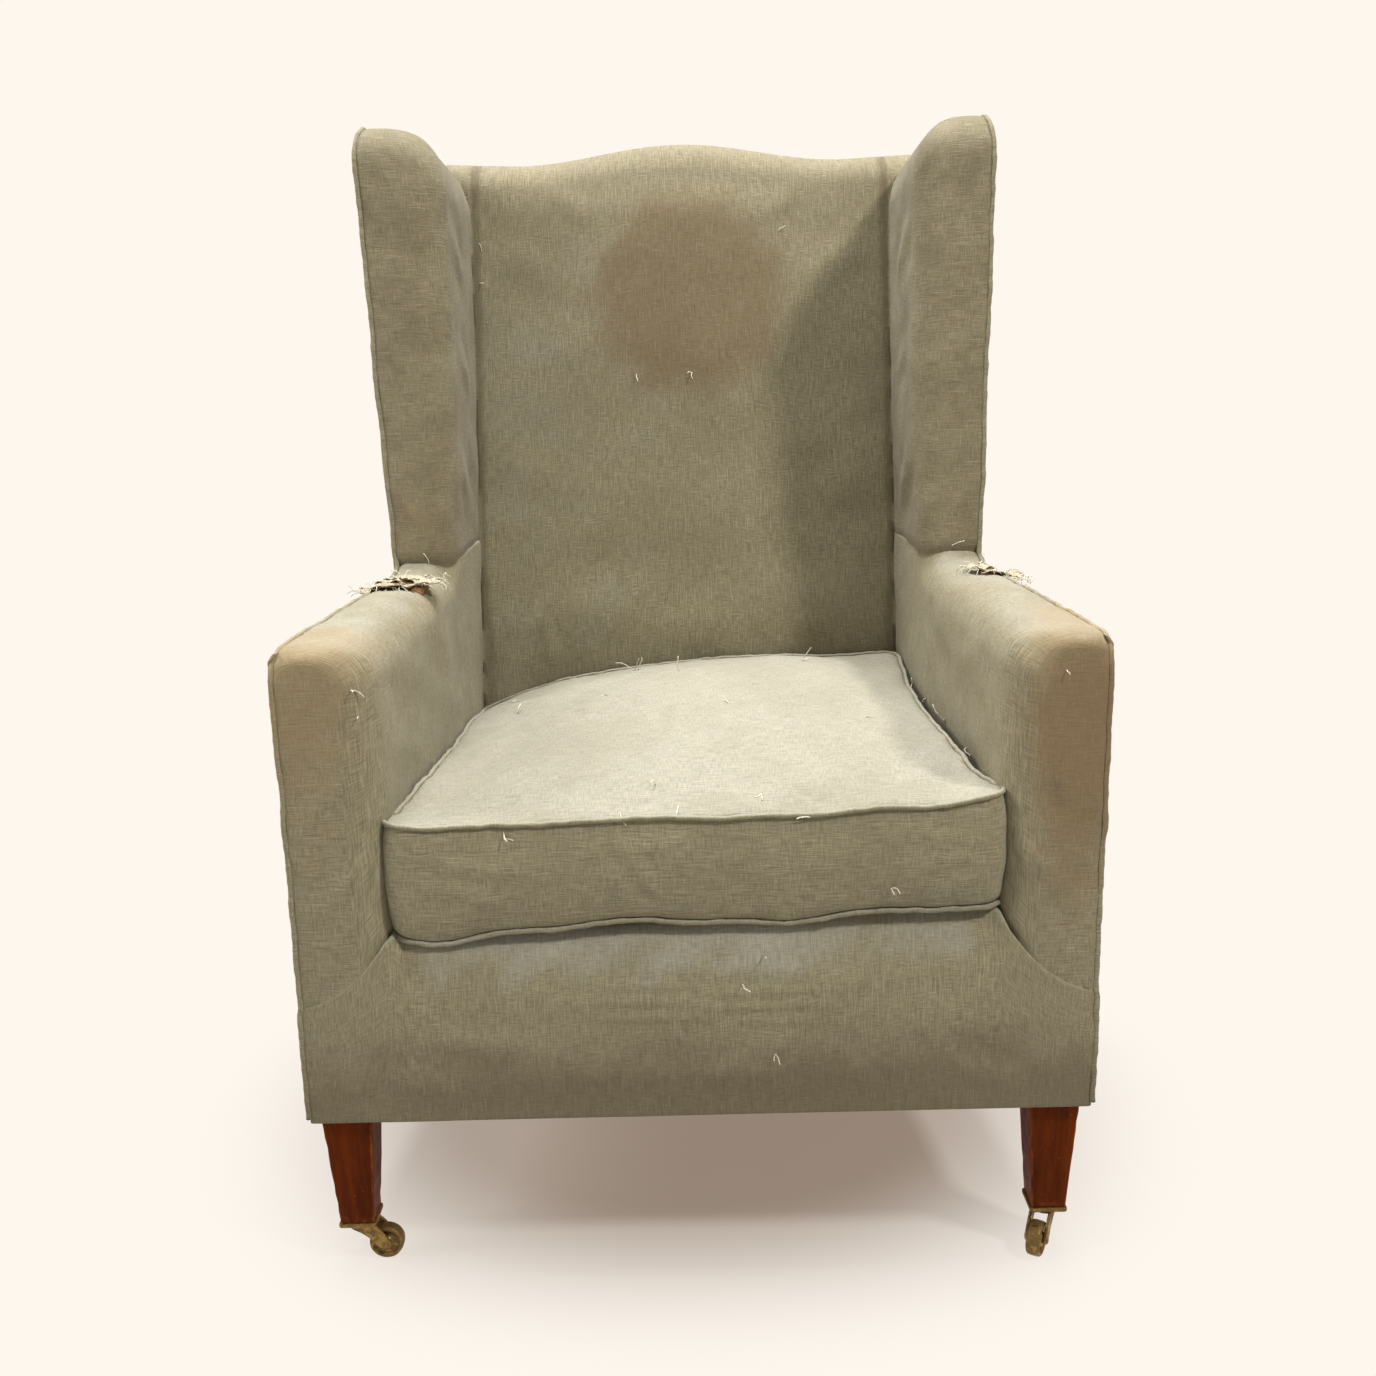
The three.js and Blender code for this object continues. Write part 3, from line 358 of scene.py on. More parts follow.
def skin(name, loops, cap_rings=10, bulge=(0.0, 0.0), cap_plane=None, joined=False):
    """A closed surface through loops (M, N, 3), shut at both ends by shrinking the end loops to a pole.

    With joined, each end of a thin cover is shut by joining its two layers: point i to point N - 1 - i.
    A cap ring is C + s (P - C), with s falling from 1 to 0, pushed out by bulge (1 - s^2).
    The UV map is in metres: arc length round the loop and along the stack, or cap_plane(points) on caps.
    """
    rows, count = loops.shape[:2]
    grids, cap_flags = [loops], [np.zeros(rows - 1, bool)]
    poles = []
    caps = not joined
    if caps:
        scale = np.linspace(1.0, 0.0, cap_rings + 1)[1:-1]
        ends = ((loops[0], loops[0].mean(0) - loops[min(3, rows - 1)].mean(0), bulge[0]),
                (loops[-1], loops[-1].mean(0) - loops[max(-4, -rows)].mean(0), bulge[1]))
        rings = []
        for end, way, push in ends:
            centre = end.mean(0)
            way = way / max(np.linalg.norm(way), 1e-9)
            swell = push * (1 - scale ** 2)[:, None, None] * way
            rings.append(centre + scale[:, None, None] * (end - centre) + swell)
            poles.append(centre + push * way)
        grids = [rings[0][::-1], loops, rings[1]]
        cap_flags = [np.ones(len(scale), bool), np.zeros(rows - 1, bool), np.ones(len(scale), bool)]
    grid = np.concatenate(grids)
    is_cap = np.concatenate(cap_flags)
    rows = len(grid)
    index = np.arange(rows * count).reshape(rows, count)
    right = np.roll(index, -1, axis=1)
    quads = np.stack([index[:-1], right[:-1], right[1:], index[1:]], axis=-1).reshape(-1, 4)
    round_step = np.linalg.norm(np.roll(grid, -1, axis=1) - grid, axis=-1)
    widest = int(np.argmax(round_step.sum(1)))
    u = np.concatenate([[0.0], np.cumsum(round_step[widest])])
    v_step = np.median(np.linalg.norm(np.diff(grid, axis=0), axis=-1), axis=1)
    v = np.concatenate([[0.0], np.cumsum(v_step)])
    u_left, u_right = u[:-1], u[1:]
    shape = (rows - 1, count)
    uv = np.stack([
        np.stack([np.broadcast_to(u_left, shape), np.broadcast_to(v[:-1, None], shape)], -1),
        np.stack([np.broadcast_to(u_right, shape), np.broadcast_to(v[:-1, None], shape)], -1),
        np.stack([np.broadcast_to(u_right, shape), np.broadcast_to(v[1:, None], shape)], -1),
        np.stack([np.broadcast_to(u_left, shape), np.broadcast_to(v[1:, None], shape)], -1)], axis=2)
    uv = uv.reshape(-1, 4, 2)
    points = grid.reshape(-1, 3)
    flags = np.repeat(is_cap, count)
    if caps:
        first, last = len(points), len(points) + 1
        points = np.concatenate([points, np.asarray(poles)])
        fan_a = np.stack([np.full(count, first), right[0], index[0], index[0]], -1)
        fan_b = np.stack([np.full(count, last), index[-1], right[-1], right[-1]], -1)
        quads = np.concatenate([quads, fan_a, fan_b])
        uv = np.concatenate([uv, np.zeros((2 * count, 4, 2))])
        flags = np.concatenate([flags, np.ones(2 * count, bool)])
    if joined:
        near = np.arange(count // 2 - 1)
        far = count - 1 - near
        first_end = np.stack([index[0, near + 1], index[0, near], index[0, far], index[0, far - 1]], -1)
        last_end = np.stack([index[-1, near], index[-1, near + 1], index[-1, far - 1], index[-1, far]], -1)
        quads = np.concatenate([quads, first_end, last_end])
        uv = np.concatenate([uv, np.zeros((2 * len(near), 4, 2))])
        flags = np.concatenate([flags, np.ones(2 * len(near), bool)])
    if cap_plane is not None and flags.any():
        uv[flags] = cap_plane(points[quads[flags]])
    if signed_volume(points, quads) < 0:
        quads = quads[:, ::-1].copy()
        uv = uv[:, ::-1].copy()
        fans = quads[:, 0] == quads[:, 1]
        quads[fans] = quads[fans][:, [1, 2, 3, 3]]
        uv[fans] = uv[fans][:, [1, 2, 3, 3]]
    return new_object(name, build_mesh(name, points, quads, uv))


def points_of(obj):
    data = np.empty(len(obj.data.vertices) * 3, np.float32)
    obj.data.vertices.foreach_get("co", data)
    return data.reshape(-1, 3).astype(float)


def normals_of(obj):
    data = np.empty(len(obj.data.vertices) * 3, np.float32)
    obj.data.vertex_normals.foreach_get("vector", data)
    return data.reshape(-1, 3).astype(float)


def set_points(obj, points):
    obj.data.vertices.foreach_set("co", np.asarray(points, np.float32).ravel())
    obj.data.update()


def push(obj, field):
    """Moves every point along its normal by field(points, normals), in metres."""
    points, normals = points_of(obj), normals_of(obj)
    set_points(obj, points + normals * field(points, normals)[:, None])


def paint(obj, name, values):
    """Stores one number for each point, 0 to 1, for the material to read."""
    layer = obj.data.attributes.get(name) or obj.data.attributes.new(name, "FLOAT", "POINT")
    layer.data.foreach_set("value", np.clip(values, 0.0, 1.0).astype(np.float32))


def tube(name, path, radius, around=10, pucker=0.0, seed=0):
    """A cord: a circle of that radius carried along path (N, 3) on frames turned as little as possible."""
    path = np.asarray(path, float)
    step = np.gradient(path, axis=0)
    tangent = step / np.maximum(np.linalg.norm(step, axis=1, keepdims=True), 1e-9)
    side = np.cross(tangent, [0.0, 0.0, 1.0])
    weak = np.linalg.norm(side, axis=1) < 0.25
    side[weak] = np.cross(tangent[weak], [0.0, 1.0, 0.0])
    for i in range(1, len(side)):
        carried = side[i - 1] - tangent[i] * (side[i - 1] @ tangent[i])
        side[i] = carried / max(np.linalg.norm(carried), 1e-9)
        if i == 1:
            side[0] /= max(np.linalg.norm(side[0]), 1e-9)
    other = np.cross(tangent, side)
    angle = np.linspace(0, 2 * np.pi, around, endpoint=False)
    length = np.concatenate([[0.0], np.cumsum(np.linalg.norm(np.diff(path, axis=0), axis=1))])
    radii = radius * np.ones(len(path)) if np.isscalar(radius) else np.asarray(radius, float)
    if pucker:
        draw = np.random.default_rng(seed)
        waves = sum(np.sin(length * 2 * np.pi / w + draw.uniform(0, 6)) for w in (0.011, 0.017, 0.031))
        radii = radii * (1 + pucker * waves / 3)
    ring = np.cos(angle)[None, :, None] * side[:, None, :] + np.sin(angle)[None, :, None] * other[:, None, :]
    return skin(name, path[:, None, :] + radii[:, None, None] * ring, cap_rings=3)


def join(name, objects):
    """One object from several, keeping their maps and painted values."""
    with bpy.context.temp_override(active_object=objects[0], selected_editable_objects=objects,
                                   selected_objects=objects, object=objects[0]):
        bpy.ops.object.join()
    objects[0].name = name
    objects[0].data.name = name
    return objects[0]


def settle(obj, nodes, material, body="root"):
    """Gives a finished piece its material and body, and hides the frame nodes it stands for."""
    obj.data.materials.clear()
    obj.data.materials.append(material)
    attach(obj, body)
    if nodes:
        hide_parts(*nodes)
    return obj


# ------------------------------------------------------------------ shader groups and materials
def node(tree, kind, inputs=None, **settings):
    """Adds a node; each input is a value or the socket that feeds it."""
    made = tree.nodes.new(kind)
    for name, value in settings.items():
        setattr(made, name, value)
    for name, value in (inputs or {}).items():
        socket = made.inputs[name]
        if isinstance(value, bpy.types.NodeSocket):
            tree.links.new(value, socket)
        else:
            socket.default_value = value
    return made


def math_node(tree, operation, first, second=0.0, clamp=False):
    return node(tree, "ShaderNodeMath", {0: first, 1: second},
                operation=operation, use_clamp=clamp).outputs[0]


def mix_colour(tree, share, first, second):
    return node(tree, "ShaderNodeMix", {0: share, 6: first, 7: second},
                data_type="RGBA", blend_type="MIX").outputs[2]


def span(tree, value, from_low, from_high, to_low=0.0, to_high=1.0):
    """A value eased from one range to another."""
    return node(tree, "ShaderNodeMapRange",
                {0: value, 1: from_low, 2: from_high, 3: to_low, 4: to_high},
                interpolation_type="SMOOTHSTEP").outputs[0]


def noise(tree, vector, scale, detail=2.0, roughness=0.5):
    return node(tree, "ShaderNodeTexNoise",
                {"Vector": vector, "Scale": scale, "Detail": detail, "Roughness": roughness}).outputs[0]


def scaled(tree, vector, factors):
    return node(tree, "ShaderNodeVectorMath", {0: vector, 1: factors}, operation="MULTIPLY").outputs[0]


def new_group(name, inputs, outputs):
    """An empty shader group with named sockets, and its input and output nodes."""
    tree = bpy.data.node_groups.new(name, "ShaderNodeTree")
    for label, kind, default in inputs:
        socket = tree.interface.new_socket(label, in_out="INPUT", socket_type=kind)
        if default is not None:
            socket.default_value = default
    for label, kind in outputs:
        tree.interface.new_socket(label, in_out="OUTPUT", socket_type=kind)
    return tree, tree.nodes.new("NodeGroupInput").outputs, tree.nodes.new("NodeGroupOutput").inputs


def weave_group():
    """Slubby plain weave over a map in metres: streaks along both threads, thick slubs, and its height."""
    found = bpy.data.node_groups.get("Slub weave")
    if found:
        return found
    tree, given, out = new_group(
        "Slub weave",
        [("Vector", "NodeSocketVector", None), ("Threads", "NodeSocketFloat", 900.0)],
        [("Shade", "NodeSocketFloat"), ("Pale slub", "NodeSocketFloat"),
         ("Dark slub", "NodeSocketFloat"), ("Height", "NodeSocketFloat")])
    wander = node(tree, "ShaderNodeTexNoise", {"Vector": given["Vector"], "Scale": 34.0, "Detail": 1.0})
    drift = scaled(tree, wander.outputs["Color"], (0.004, 0.004, 0.0))
    place = node(tree, "ShaderNodeVectorMath", {0: given["Vector"], 1: drift}, operation="ADD").outputs[0]
    warp = noise(tree, scaled(tree, place, (1.0, 0.10, 1.0)), given["Threads"], 2.0, 0.6)
    weft = noise(tree, scaled(tree, place, (0.07, 1.0, 1.0)), given["Threads"], 2.0, 0.6)
    shade = math_node(tree, "ADD", math_node(tree, "MULTIPLY", warp, 0.45),
                      math_node(tree, "MULTIPLY", weft, 0.55))
    slub_warp = noise(tree, scaled(tree, place, (1.0, 0.10, 1.0)), 560.0, 1.0)
    slub_weft = noise(tree, scaled(tree, place, (0.06, 1.0, 1.0)), 560.0, 1.0)
    pale = math_node(tree, "MAXIMUM", span(tree, slub_warp, 0.62, 0.72), span(tree, slub_weft, 0.60, 0.70))
    dark = math_node(tree, "MAXIMUM", span(tree, slub_warp, 0.38, 0.29), span(tree, slub_weft, 0.40, 0.31))
    tree.links.new(span(tree, shade, 0.36, 0.64), out["Shade"])
    tree.links.new(pale, out["Pale slub"])
    tree.links.new(dark, out["Dark slub"])
    raised = math_node(tree, "ADD", shade, math_node(tree, "MULTIPLY", pale, 0.35))
    tree.links.new(raised, out["Height"])
    return tree


def blotch_group():
    """Irregular blotches: turns a soft painted mask into one with a ragged, uneven edge."""
    found = bpy.data.node_groups.get("Blotches")
    if found:
        return found
    tree, given, out = new_group(
        "Blotches",
        [("Vector", "NodeSocketVector", None), ("Mask", "NodeSocketFloat", 0.0),
         ("Scale", "NodeSocketFloat", 22.0), ("Raggedness", "NodeSocketFloat", 0.5)],
        [("Mask", "NodeSocketFloat"), ("Cloud", "NodeSocketFloat")])
    cloud = noise(tree, given["Vector"], given["Scale"], 5.0, 0.62)
    centred = math_node(tree, "SUBTRACT", cloud, 0.5)
    torn = math_node(tree, "MULTIPLY", centred, math_node(tree, "MULTIPLY", given["Raggedness"], 2.2))
    worn = math_node(tree, "ADD", given["Mask"], torn)
    shown = math_node(tree, "MULTIPLY", span(tree, worn, 0.15, 0.85), span(tree, given["Mask"], 0.0, 0.22))
    tree.links.new(shown, out["Mask"])
    tree.links.new(cloud, out["Cloud"])
    return tree


def grain_group():
    """Wood grain that runs along Z: stretched noise for the pores and wider bands for the figure."""
    found = bpy.data.node_groups.get("Wood grain")
    if found:
        return found
    tree, given, out = new_group(
        "Wood grain",
        [("Vector", "NodeSocketVector", None), ("Stretch", "NodeSocketVector", (1.0, 1.0, 0.06))],
        [("Figure", "NodeSocketFloat"), ("Pores", "NodeSocketFloat"), ("Height", "NodeSocketFloat")])
    along = node(tree, "ShaderNodeVectorMath", {0: given["Vector"], 1: given["Stretch"]},
                 operation="MULTIPLY").outputs[0]
    figure = noise(tree, along, 90.0, 4.0, 0.6)
    pores = span(tree, noise(tree, along, 900.0, 2.0, 0.7), 0.42, 0.30)
    tree.links.new(span(tree, figure, 0.3, 0.7), out["Figure"])
    tree.links.new(pores, out["Pores"])
    height = math_node(tree, "SUBTRACT", math_node(tree, "MULTIPLY", figure, 0.4), pores)
    tree.links.new(height, out["Height"])
    return tree


def group(tree, made, inputs):
    """Adds a shader group with its inputs, and returns its outputs."""
    return node(tree, "ShaderNodeGroup", inputs, node_tree=made).outputs


def new_material(name):
    """A material with one Principled shader, its node tree, the shader and the object's coordinates."""
    material = bpy.data.materials.new(name)
    material.use_nodes = True
    tree = material.node_tree
    tree.nodes.clear()
    shader = node(tree, "ShaderNodeBsdfPrincipled")
    output = node(tree, "ShaderNodeOutputMaterial")
    tree.links.new(shader.outputs[0], output.inputs["Surface"])
    place = node(tree, "ShaderNodeTexCoord").outputs["Object"]
    return material, tree, shader, place


def rgb(colour, factor=1.0):
    return (*(min(channel * factor, 1.0) for channel in colour), 1.0)


def painted(tree, name):
    return node(tree, "ShaderNodeAttribute", attribute_name=name, attribute_type="GEOMETRY").outputs["Fac"]


def bump(tree, height, distance, strength=1.0, under=None):
    made = node(tree, "ShaderNodeBump", {"Height": height, "Distance": distance, "Strength": strength})
    if under is not None:
        tree.links.new(under, made.inputs["Normal"])
    return made.outputs[0]


def linen_material():
    """Faded linen: slub weave on the piece's own map, with painted fading and top light, stains, yellowing,
    dirt and painted shade.
    """
    found = bpy.data.materials.get("Worn linen")
    if found:
        return found
    paint_box = colours()
    material, tree, shader, place = new_material("Worn linen")
    chart = node(tree, "ShaderNodeUVMap", uv_map="UVMap").outputs[0]
    weave = group(tree, weave_group(), {"Vector": chart})
    cloud = noise(tree, place, 9.0, 4.0, 0.6)
    colour = mix_colour(tree, weave["Shade"], rgb(paint_box.linen, 0.76), rgb(paint_box.linen, 1.24))
    colour = mix_colour(tree, math_node(tree, "MULTIPLY", weave["Pale slub"], 0.42), colour,
                        rgb(paint_box.linen_pale))
    colour = mix_colour(tree, math_node(tree, "MULTIPLY", weave["Dark slub"], 0.46), colour,
                        rgb(paint_box.linen_dark))
    # paler, bluer colour on upward faces: partly bleaching, partly painted top light
    faded_and_top_lit = group(tree, blotch_group(), {"Vector": place, "Mask": painted(tree, "fade_and_top_light"), "Scale": 14.0,
                                         "Raggedness": 0.35})
    bleached_and_lit = mix_colour(tree, weave["Shade"], rgb(paint_box.faded_and_top_lit, 0.84), rgb(paint_box.faded_and_top_lit, 1.16))
    pale = mix_colour(tree, 0.5, colour, bleached_and_lit)
    colour = mix_colour(tree, faded_and_top_lit["Mask"], colour, pale)
    colour = mix_colour(tree, span(tree, cloud, 0.62, 0.36, 0.0, 0.22), colour, rgb(paint_box.linen, 0.74))
    yellow = group(tree, blotch_group(), {"Vector": place, "Mask": painted(tree, "tan"), "Scale": 42.0,
                                          "Raggedness": 0.40})
    yellowed = mix_colour(tree, 0.40, colour, rgb(paint_box.tan))
    colour = mix_colour(tree, yellow["Mask"], colour, yellowed)
    stain = group(tree, blotch_group(), {"Vector": place, "Mask": painted(tree, "stain"), "Scale": 30.0,
                                         "Raggedness": 0.22})
    stained = mix_colour(tree, 0.42, colour, rgb(paint_box.stain))
    colour = mix_colour(tree, stain["Mask"], colour, stained)
    # darkening low down, and painted shade under things, in the creases and over the wings
    grime_and_shade = group(tree, blotch_group(), {"Vector": place, "Mask": painted(tree, "grime_and_shade"), "Scale": 18.0,
                                         "Raggedness": 0.45})
    dirtied_and_shaded = mix_colour(tree, 0.55, colour, rgb(paint_box.grime_and_shade))
    colour = mix_colour(tree, grime_and_shade["Mask"], colour, dirtied_and_shaded)
    tree.links.new(colour, shader.inputs["Base Color"])
    shader.inputs["Roughness"].default_value = 0.93
    shader.inputs["Specular IOR Level"].default_value = 0.22
    shader.inputs["Sheen Weight"].default_value = 0.10
    shader.inputs["Sheen Roughness"].default_value = 0.5
    fuzz = bump(tree, noise(tree, place, 260.0, 3.0, 0.7), 0.6 * MM, 0.3)
    tree.links.new(bump(tree, weave["Height"], 0.6 * MM, 0.6, fuzz), shader.inputs["Normal"])
    return material


def plain_cloth_material(name, colour, threads, open_weave=False):
    """A plain woven cloth seen through a coarser slub weave, for linings, hessian and webbing."""
    found = bpy.data.materials.get(name)
    if found:
        return found
    material, tree, shader, place = new_material(name)
    weave = group(tree, weave_group(), {"Vector": place, "Threads": threads})
    shade = mix_colour(tree, weave["Shade"], rgb(colour, 0.62), rgb(colour, 1.2))
    dirt = noise(tree, place, 14.0, 4.0, 0.6)
    shade = mix_colour(tree, span(tree, dirt, 0.55, 0.35, 0.0, 0.5), shade, rgb(colour, 0.45))
    tree.links.new(shade, shader.inputs["Base Color"])
    shader.inputs["Roughness"].default_value = 0.95
    shader.inputs["Specular IOR Level"].default_value = 0.2
    depth = 1.4 * MM if open_weave else 0.7 * MM
    tree.links.new(bump(tree, weave["Height"], depth, 0.8), shader.inputs["Normal"])
    return material


def felt_material():
    """Matted stuffing that shows in the tears: orange-tan fibre, with painted shade in the hollows between
    its clumps.
    """
    found = bpy.data.materials.get("Matted stuffing")
    if found:
        return found
    paint_box = colours()
    material, tree, shader, place = new_material("Matted stuffing")
    clumps = noise(tree, place, 120.0, 5.0, 0.7)
    fibre = noise(tree, scaled(tree, place, (1.0, 0.2, 0.6)), 900.0, 2.0, 0.6)
    # painted shade: the low places of the clumps, which the bump also sinks, are darker
    colour = mix_colour(tree, span(tree, clumps, 0.38, 0.64), rgb(paint_box.stuffing, 0.55),
                        rgb(paint_box.stuffing))
    colour = mix_colour(tree, span(tree, fibre, 0.52, 0.68, 0.0, 0.55), colour, rgb(paint_box.lining))
    tree.links.new(colour, shader.inputs["Base Color"])
    shader.inputs["Roughness"].default_value = 0.97
    tree.links.new(bump(tree, math_node(tree, "ADD", clumps, fibre), 2.5 * MM, 0.9), shader.inputs["Normal"])
    return material


def wood_material(name, dark, pale, roughness, stretch, gloss=0.3):
    """Wood: grain between two colours, varnish worn off where the edge attribute is painted, small nicks."""
    found = bpy.data.materials.get(name)
    if found:
        return found
    material, tree, shader, place = new_material(name)
    grain = group(tree, grain_group(), {"Vector": place, "Stretch": stretch})
    colour = mix_colour(tree, grain["Figure"], rgb(dark, 0.7), rgb(dark, 1.35))
    colour = mix_colour(tree, math_node(tree, "MULTIPLY", grain["Pores"], 0.6), colour, rgb(dark, 0.35))
    worn = group(tree, blotch_group(), {"Vector": place, "Mask": painted(tree, "edge"), "Scale": 95.0,
                                        "Raggedness": 0.9})
    colour = mix_colour(tree, math_node(tree, "MULTIPLY", worn["Mask"], 0.8), colour, rgb(pale))
    nicks = span(tree, noise(tree, place, 210.0, 1.0), 0.70, 0.75)
    colour = mix_colour(tree, math_node(tree, "MULTIPLY", nicks, 0.6), colour, rgb(pale, 0.8))
    tree.links.new(colour, shader.inputs["Base Color"])
    rough = math_node(tree, "ADD", math_node(tree, "MULTIPLY", worn["Mask"], 0.3),
                      span(tree, worn["Cloud"], 0.3, 0.7, roughness, roughness + 0.14))
    tree.links.new(rough, shader.inputs["Roughness"])
    shader.inputs["Specular IOR Level"].default_value = gloss
    tree.links.new(bump(tree, math_node(tree, "SUBTRACT", grain["Height"], nicks), 0.4 * MM, 0.5),
                   shader.inputs["Normal"])
    return material


def metal_material(name, bright, dull, roughness):
    """Old metal: bright where it is rubbed, brown film elsewhere, fine scratches and pits."""
    found = bpy.data.materials.get(name)
    if found:
        return found
    material, tree, shader, place = new_material(name)
    film = noise(tree, place, 150.0, 5.0, 0.65)
    fine = noise(tree, scaled(tree, place, (1.0, 0.25, 1.0)), 1600.0, 2.0, 0.7)
    mask = math_node(tree, "SUBTRACT", span(tree, film, 0.30, 0.54), painted(tree, "edge"), clamp=True)
    colour = mix_colour(tree, span(tree, fine, 0.35, 0.7, 0.0, 0.35), rgb(bright), rgb(bright, 0.55))
    colour = mix_colour(tree, math_node(tree, "MULTIPLY", mask, 0.85), colour, rgb(dull))
    tree.links.new(colour, shader.inputs["Base Color"])
    tree.links.new(math_node(tree, "SUBTRACT", 1.0, math_node(tree, "MULTIPLY", mask, 0.6)),
                   shader.inputs["Metallic"])
    rough = math_node(tree, "ADD", math_node(tree, "MULTIPLY", mask, 0.35),
                      span(tree, fine, 0.3, 0.8, roughness, roughness + 0.15))
    tree.links.new(rough, shader.inputs["Roughness"])
    tree.links.new(bump(tree, math_node(tree, "ADD", film, fine), 0.25 * MM, 0.4), shader.inputs["Normal"])
    return material


def floor_material():
    """Pale matt floor, lit a little from within, that melts into the backdrop's colour round the chair."""
    paint_box = colours()
    material, tree, shader, place = new_material("Pale floor")
    spread = scaled(tree, place, (1.0, 1.15, 0.0))
    away = node(tree, "ShaderNodeVectorMath", {0: spread}, operation="LENGTH").outputs["Value"]
    dapple = noise(tree, place, 5.0, 3.0, 0.6)
    colour = mix_colour(tree, dapple, rgb(paint_box.floor, 0.96), rgb(paint_box.floor, 1.04))
    tree.links.new(colour, shader.inputs["Base Color"])
    shader.inputs["Roughness"].default_value = 0.75
    shader.inputs["Specular IOR Level"].default_value = 0.1
    shader.inputs["Emission Color"].default_value = rgb(paint_box.floor_glow)
    shader.inputs["Emission Strength"].default_value = 1.0
    glow = node(tree, "ShaderNodeEmission", {"Color": rgb(paint_box.backdrop), "Strength": 1.0})
    blend = node(tree, "ShaderNodeMixShader", {0: span(tree, away, 0.28, 0.62)})
    tree.links.new(shader.outputs[0], blend.inputs[1])
    tree.links.new(glow.outputs[0], blend.inputs[2])
    output = next(n for n in tree.nodes if n.bl_idname == "ShaderNodeOutputMaterial")
    tree.links.new(blend.outputs[0], output.inputs["Surface"])
    tree.links.new(bump(tree, noise(tree, place, 60.0, 4.0, 0.6), 0.4 * MM, 0.3), shader.inputs["Normal"])
    return material


# ------------------------------------------------------------------ wear, stains, painted light and painted shade on the cloth
def painted_spots(points, spots):
    """The sum of Gaussian hills: side, x, depth, z and three radii in millimetres, and a strength."""
    total = np.zeros(len(points))
    for side, x, depth, z, wide, deep, tall, strength in spots:
        centre = (side * x * MM, FRONT + depth * MM, z * MM)
        total += strength * bump_at(points, centre, (wide * MM, deep * MM, tall * MM))
    return total


def weather(obj, grime_and_shade=0.0):
    """Paints fading with painted top light on upward faces, painted light on the back's left, the head
    stain, yellowed arms, darkening low down, and painted shade under things and in the creases.
    """
    points, normals = points_of(obj), normals_of(obj)
    x, depth, z = points[:, 0], points[:, 1] - FRONT, points[:, 2]
    cloud = ripple(points, 60 * MM, 5)
    # a paler band along the border's top, added to the fading: partly rubbing, partly painted light on its
    # upward roll
    rubbed = smooth(276 * MM, 340 * MM, z + 14 * MM * cloud) * smooth(352 * MM, 346 * MM, z)
    rubbed = rubbed * smooth(276 * MM, 240 * MM, np.abs(x))
    # paler, bluer colour on upward faces below the crest, less on the arm tops: partly bleaching, partly
    # painted top light
    faded_and_top_lit = smooth(0.35, 0.92, normals[:, 2]) * (1 - smooth(700 * MM, 1000 * MM, z))
    faded_and_top_lit = faded_and_top_lit * (1 - 0.45 * smooth(0.0, 12 * MM, np.abs(x) - inner(depth)))
    on_back = smooth(-40 * MM, -10 * MM, depth - back_face(z)) * (np.abs(x) < inner(depth) + 4 * MM)
    on_back = on_back * (normals[:, 1] < -0.2)
    # painted light: the left part of the inside back, below the crest, is made paler as if lit
    painted_light_back_left = 0.3 * on_back * smooth(200 * MM, -160 * MM, x) * smooth(1090 * MM, 1000 * MM, z)
    paint(obj, "fade_and_top_light", faded_and_top_lit + painted_light_back_left + 0.12 * cloud * (normals[:, 2] > 0.3)
          + 0.6 * rubbed * (depth < 30 * MM))
    spread = np.hypot((x - 10 * MM) / (132 * MM), (z - 952 * MM) / (136 * MM))
    head = on_back * smooth(1.22, 0.48, spread + 0.08 * cloud)
    head += 0.5 * on_back * bump_at(np.stack([x, z], -1), (-26 * MM, 930 * MM), (30 * MM, 24 * MM))
    tan = painted_spots(points, ((-1, 345, 0, 568, 46, 60, 62, 0.75), (-1, 335, 45, 612, 52, 62, 34, 0.9),
                                 (-1, 352, 0, 470, 36, 40, 90, 0.35), (1, 345, 0, 560, 50, 60, 76, 0.9),
                                 (1, 350, 66, 616, 42, 84, 34, 0.9), (1, 350, 0, 450, 44, 40, 130, 0.5),
                                 (-1, 305, 362, 700, 44, 40, 60, 0.45), (1, 305, 362, 700, 40, 40, 50, 0.3)))
    grease = painted_spots(points, ((1, 350, 0, 548, 48, 40, 74, 1.0), (-1, 352, 0, 540, 26, 40, 50, 0.35),
                                    (1, 345, 0, 450, 46, 40, 110, 0.6)))
    paint(obj, "tan", tan)
    paint(obj, "stain", head + grease)
    # darker towards the bottom
    low_down = smooth(300 * MM, 170 * MM, z) * 0.7
    # painted shade on faces that point down
    under = smooth(0.1, -0.6, normals[:, 2]) * 0.5
    # painted shade in the crease where the inside back meets the seat
    seat_crease_shade = smooth(34 * MM, 4 * MM, np.abs(depth - back_face(z))) * smooth(620 * MM, 480 * MM, z)
    # painted shade in the gaps where the inside back meets the wings
    wing_gap_shade = smooth(16 * MM, 2 * MM, np.abs(np.abs(x) - inner(depth))) * on_back * 0.9
    # painted shade in the crease where the arm's top meets the wing's foot
    arm_wing_crease_shade = (np.abs(z - arm_top(depth) - WING_FOOT) < 5 * MM) & (np.abs(x) > inner(depth) - 4 * MM)
    paint(obj, "grime_and_shade", grime_and_shade + low_down + under + 0.5 * seat_crease_shade + wing_gap_shade
          + 0.35 * arm_wing_crease_shade * (depth > WING_DEPTH - 12 * MM) * (depth < BACK_DEPTH))


def stitched(points, amount, wavelength, seed):
    """A small uneven push, amount times a ripple, for cloth that is no longer taut."""
    broad = amount * ripple(points, wavelength, seed)
    return broad + 0.4 * amount * ripple(points, wavelength * 0.4, seed + 1)


# ------------------------------------------------------------------ cushion
CUSHION_FRONT = 5 * MM
CUSHION_WAIST = 17 * MM   # how far the cushion's upper seam is drawn in at its sides


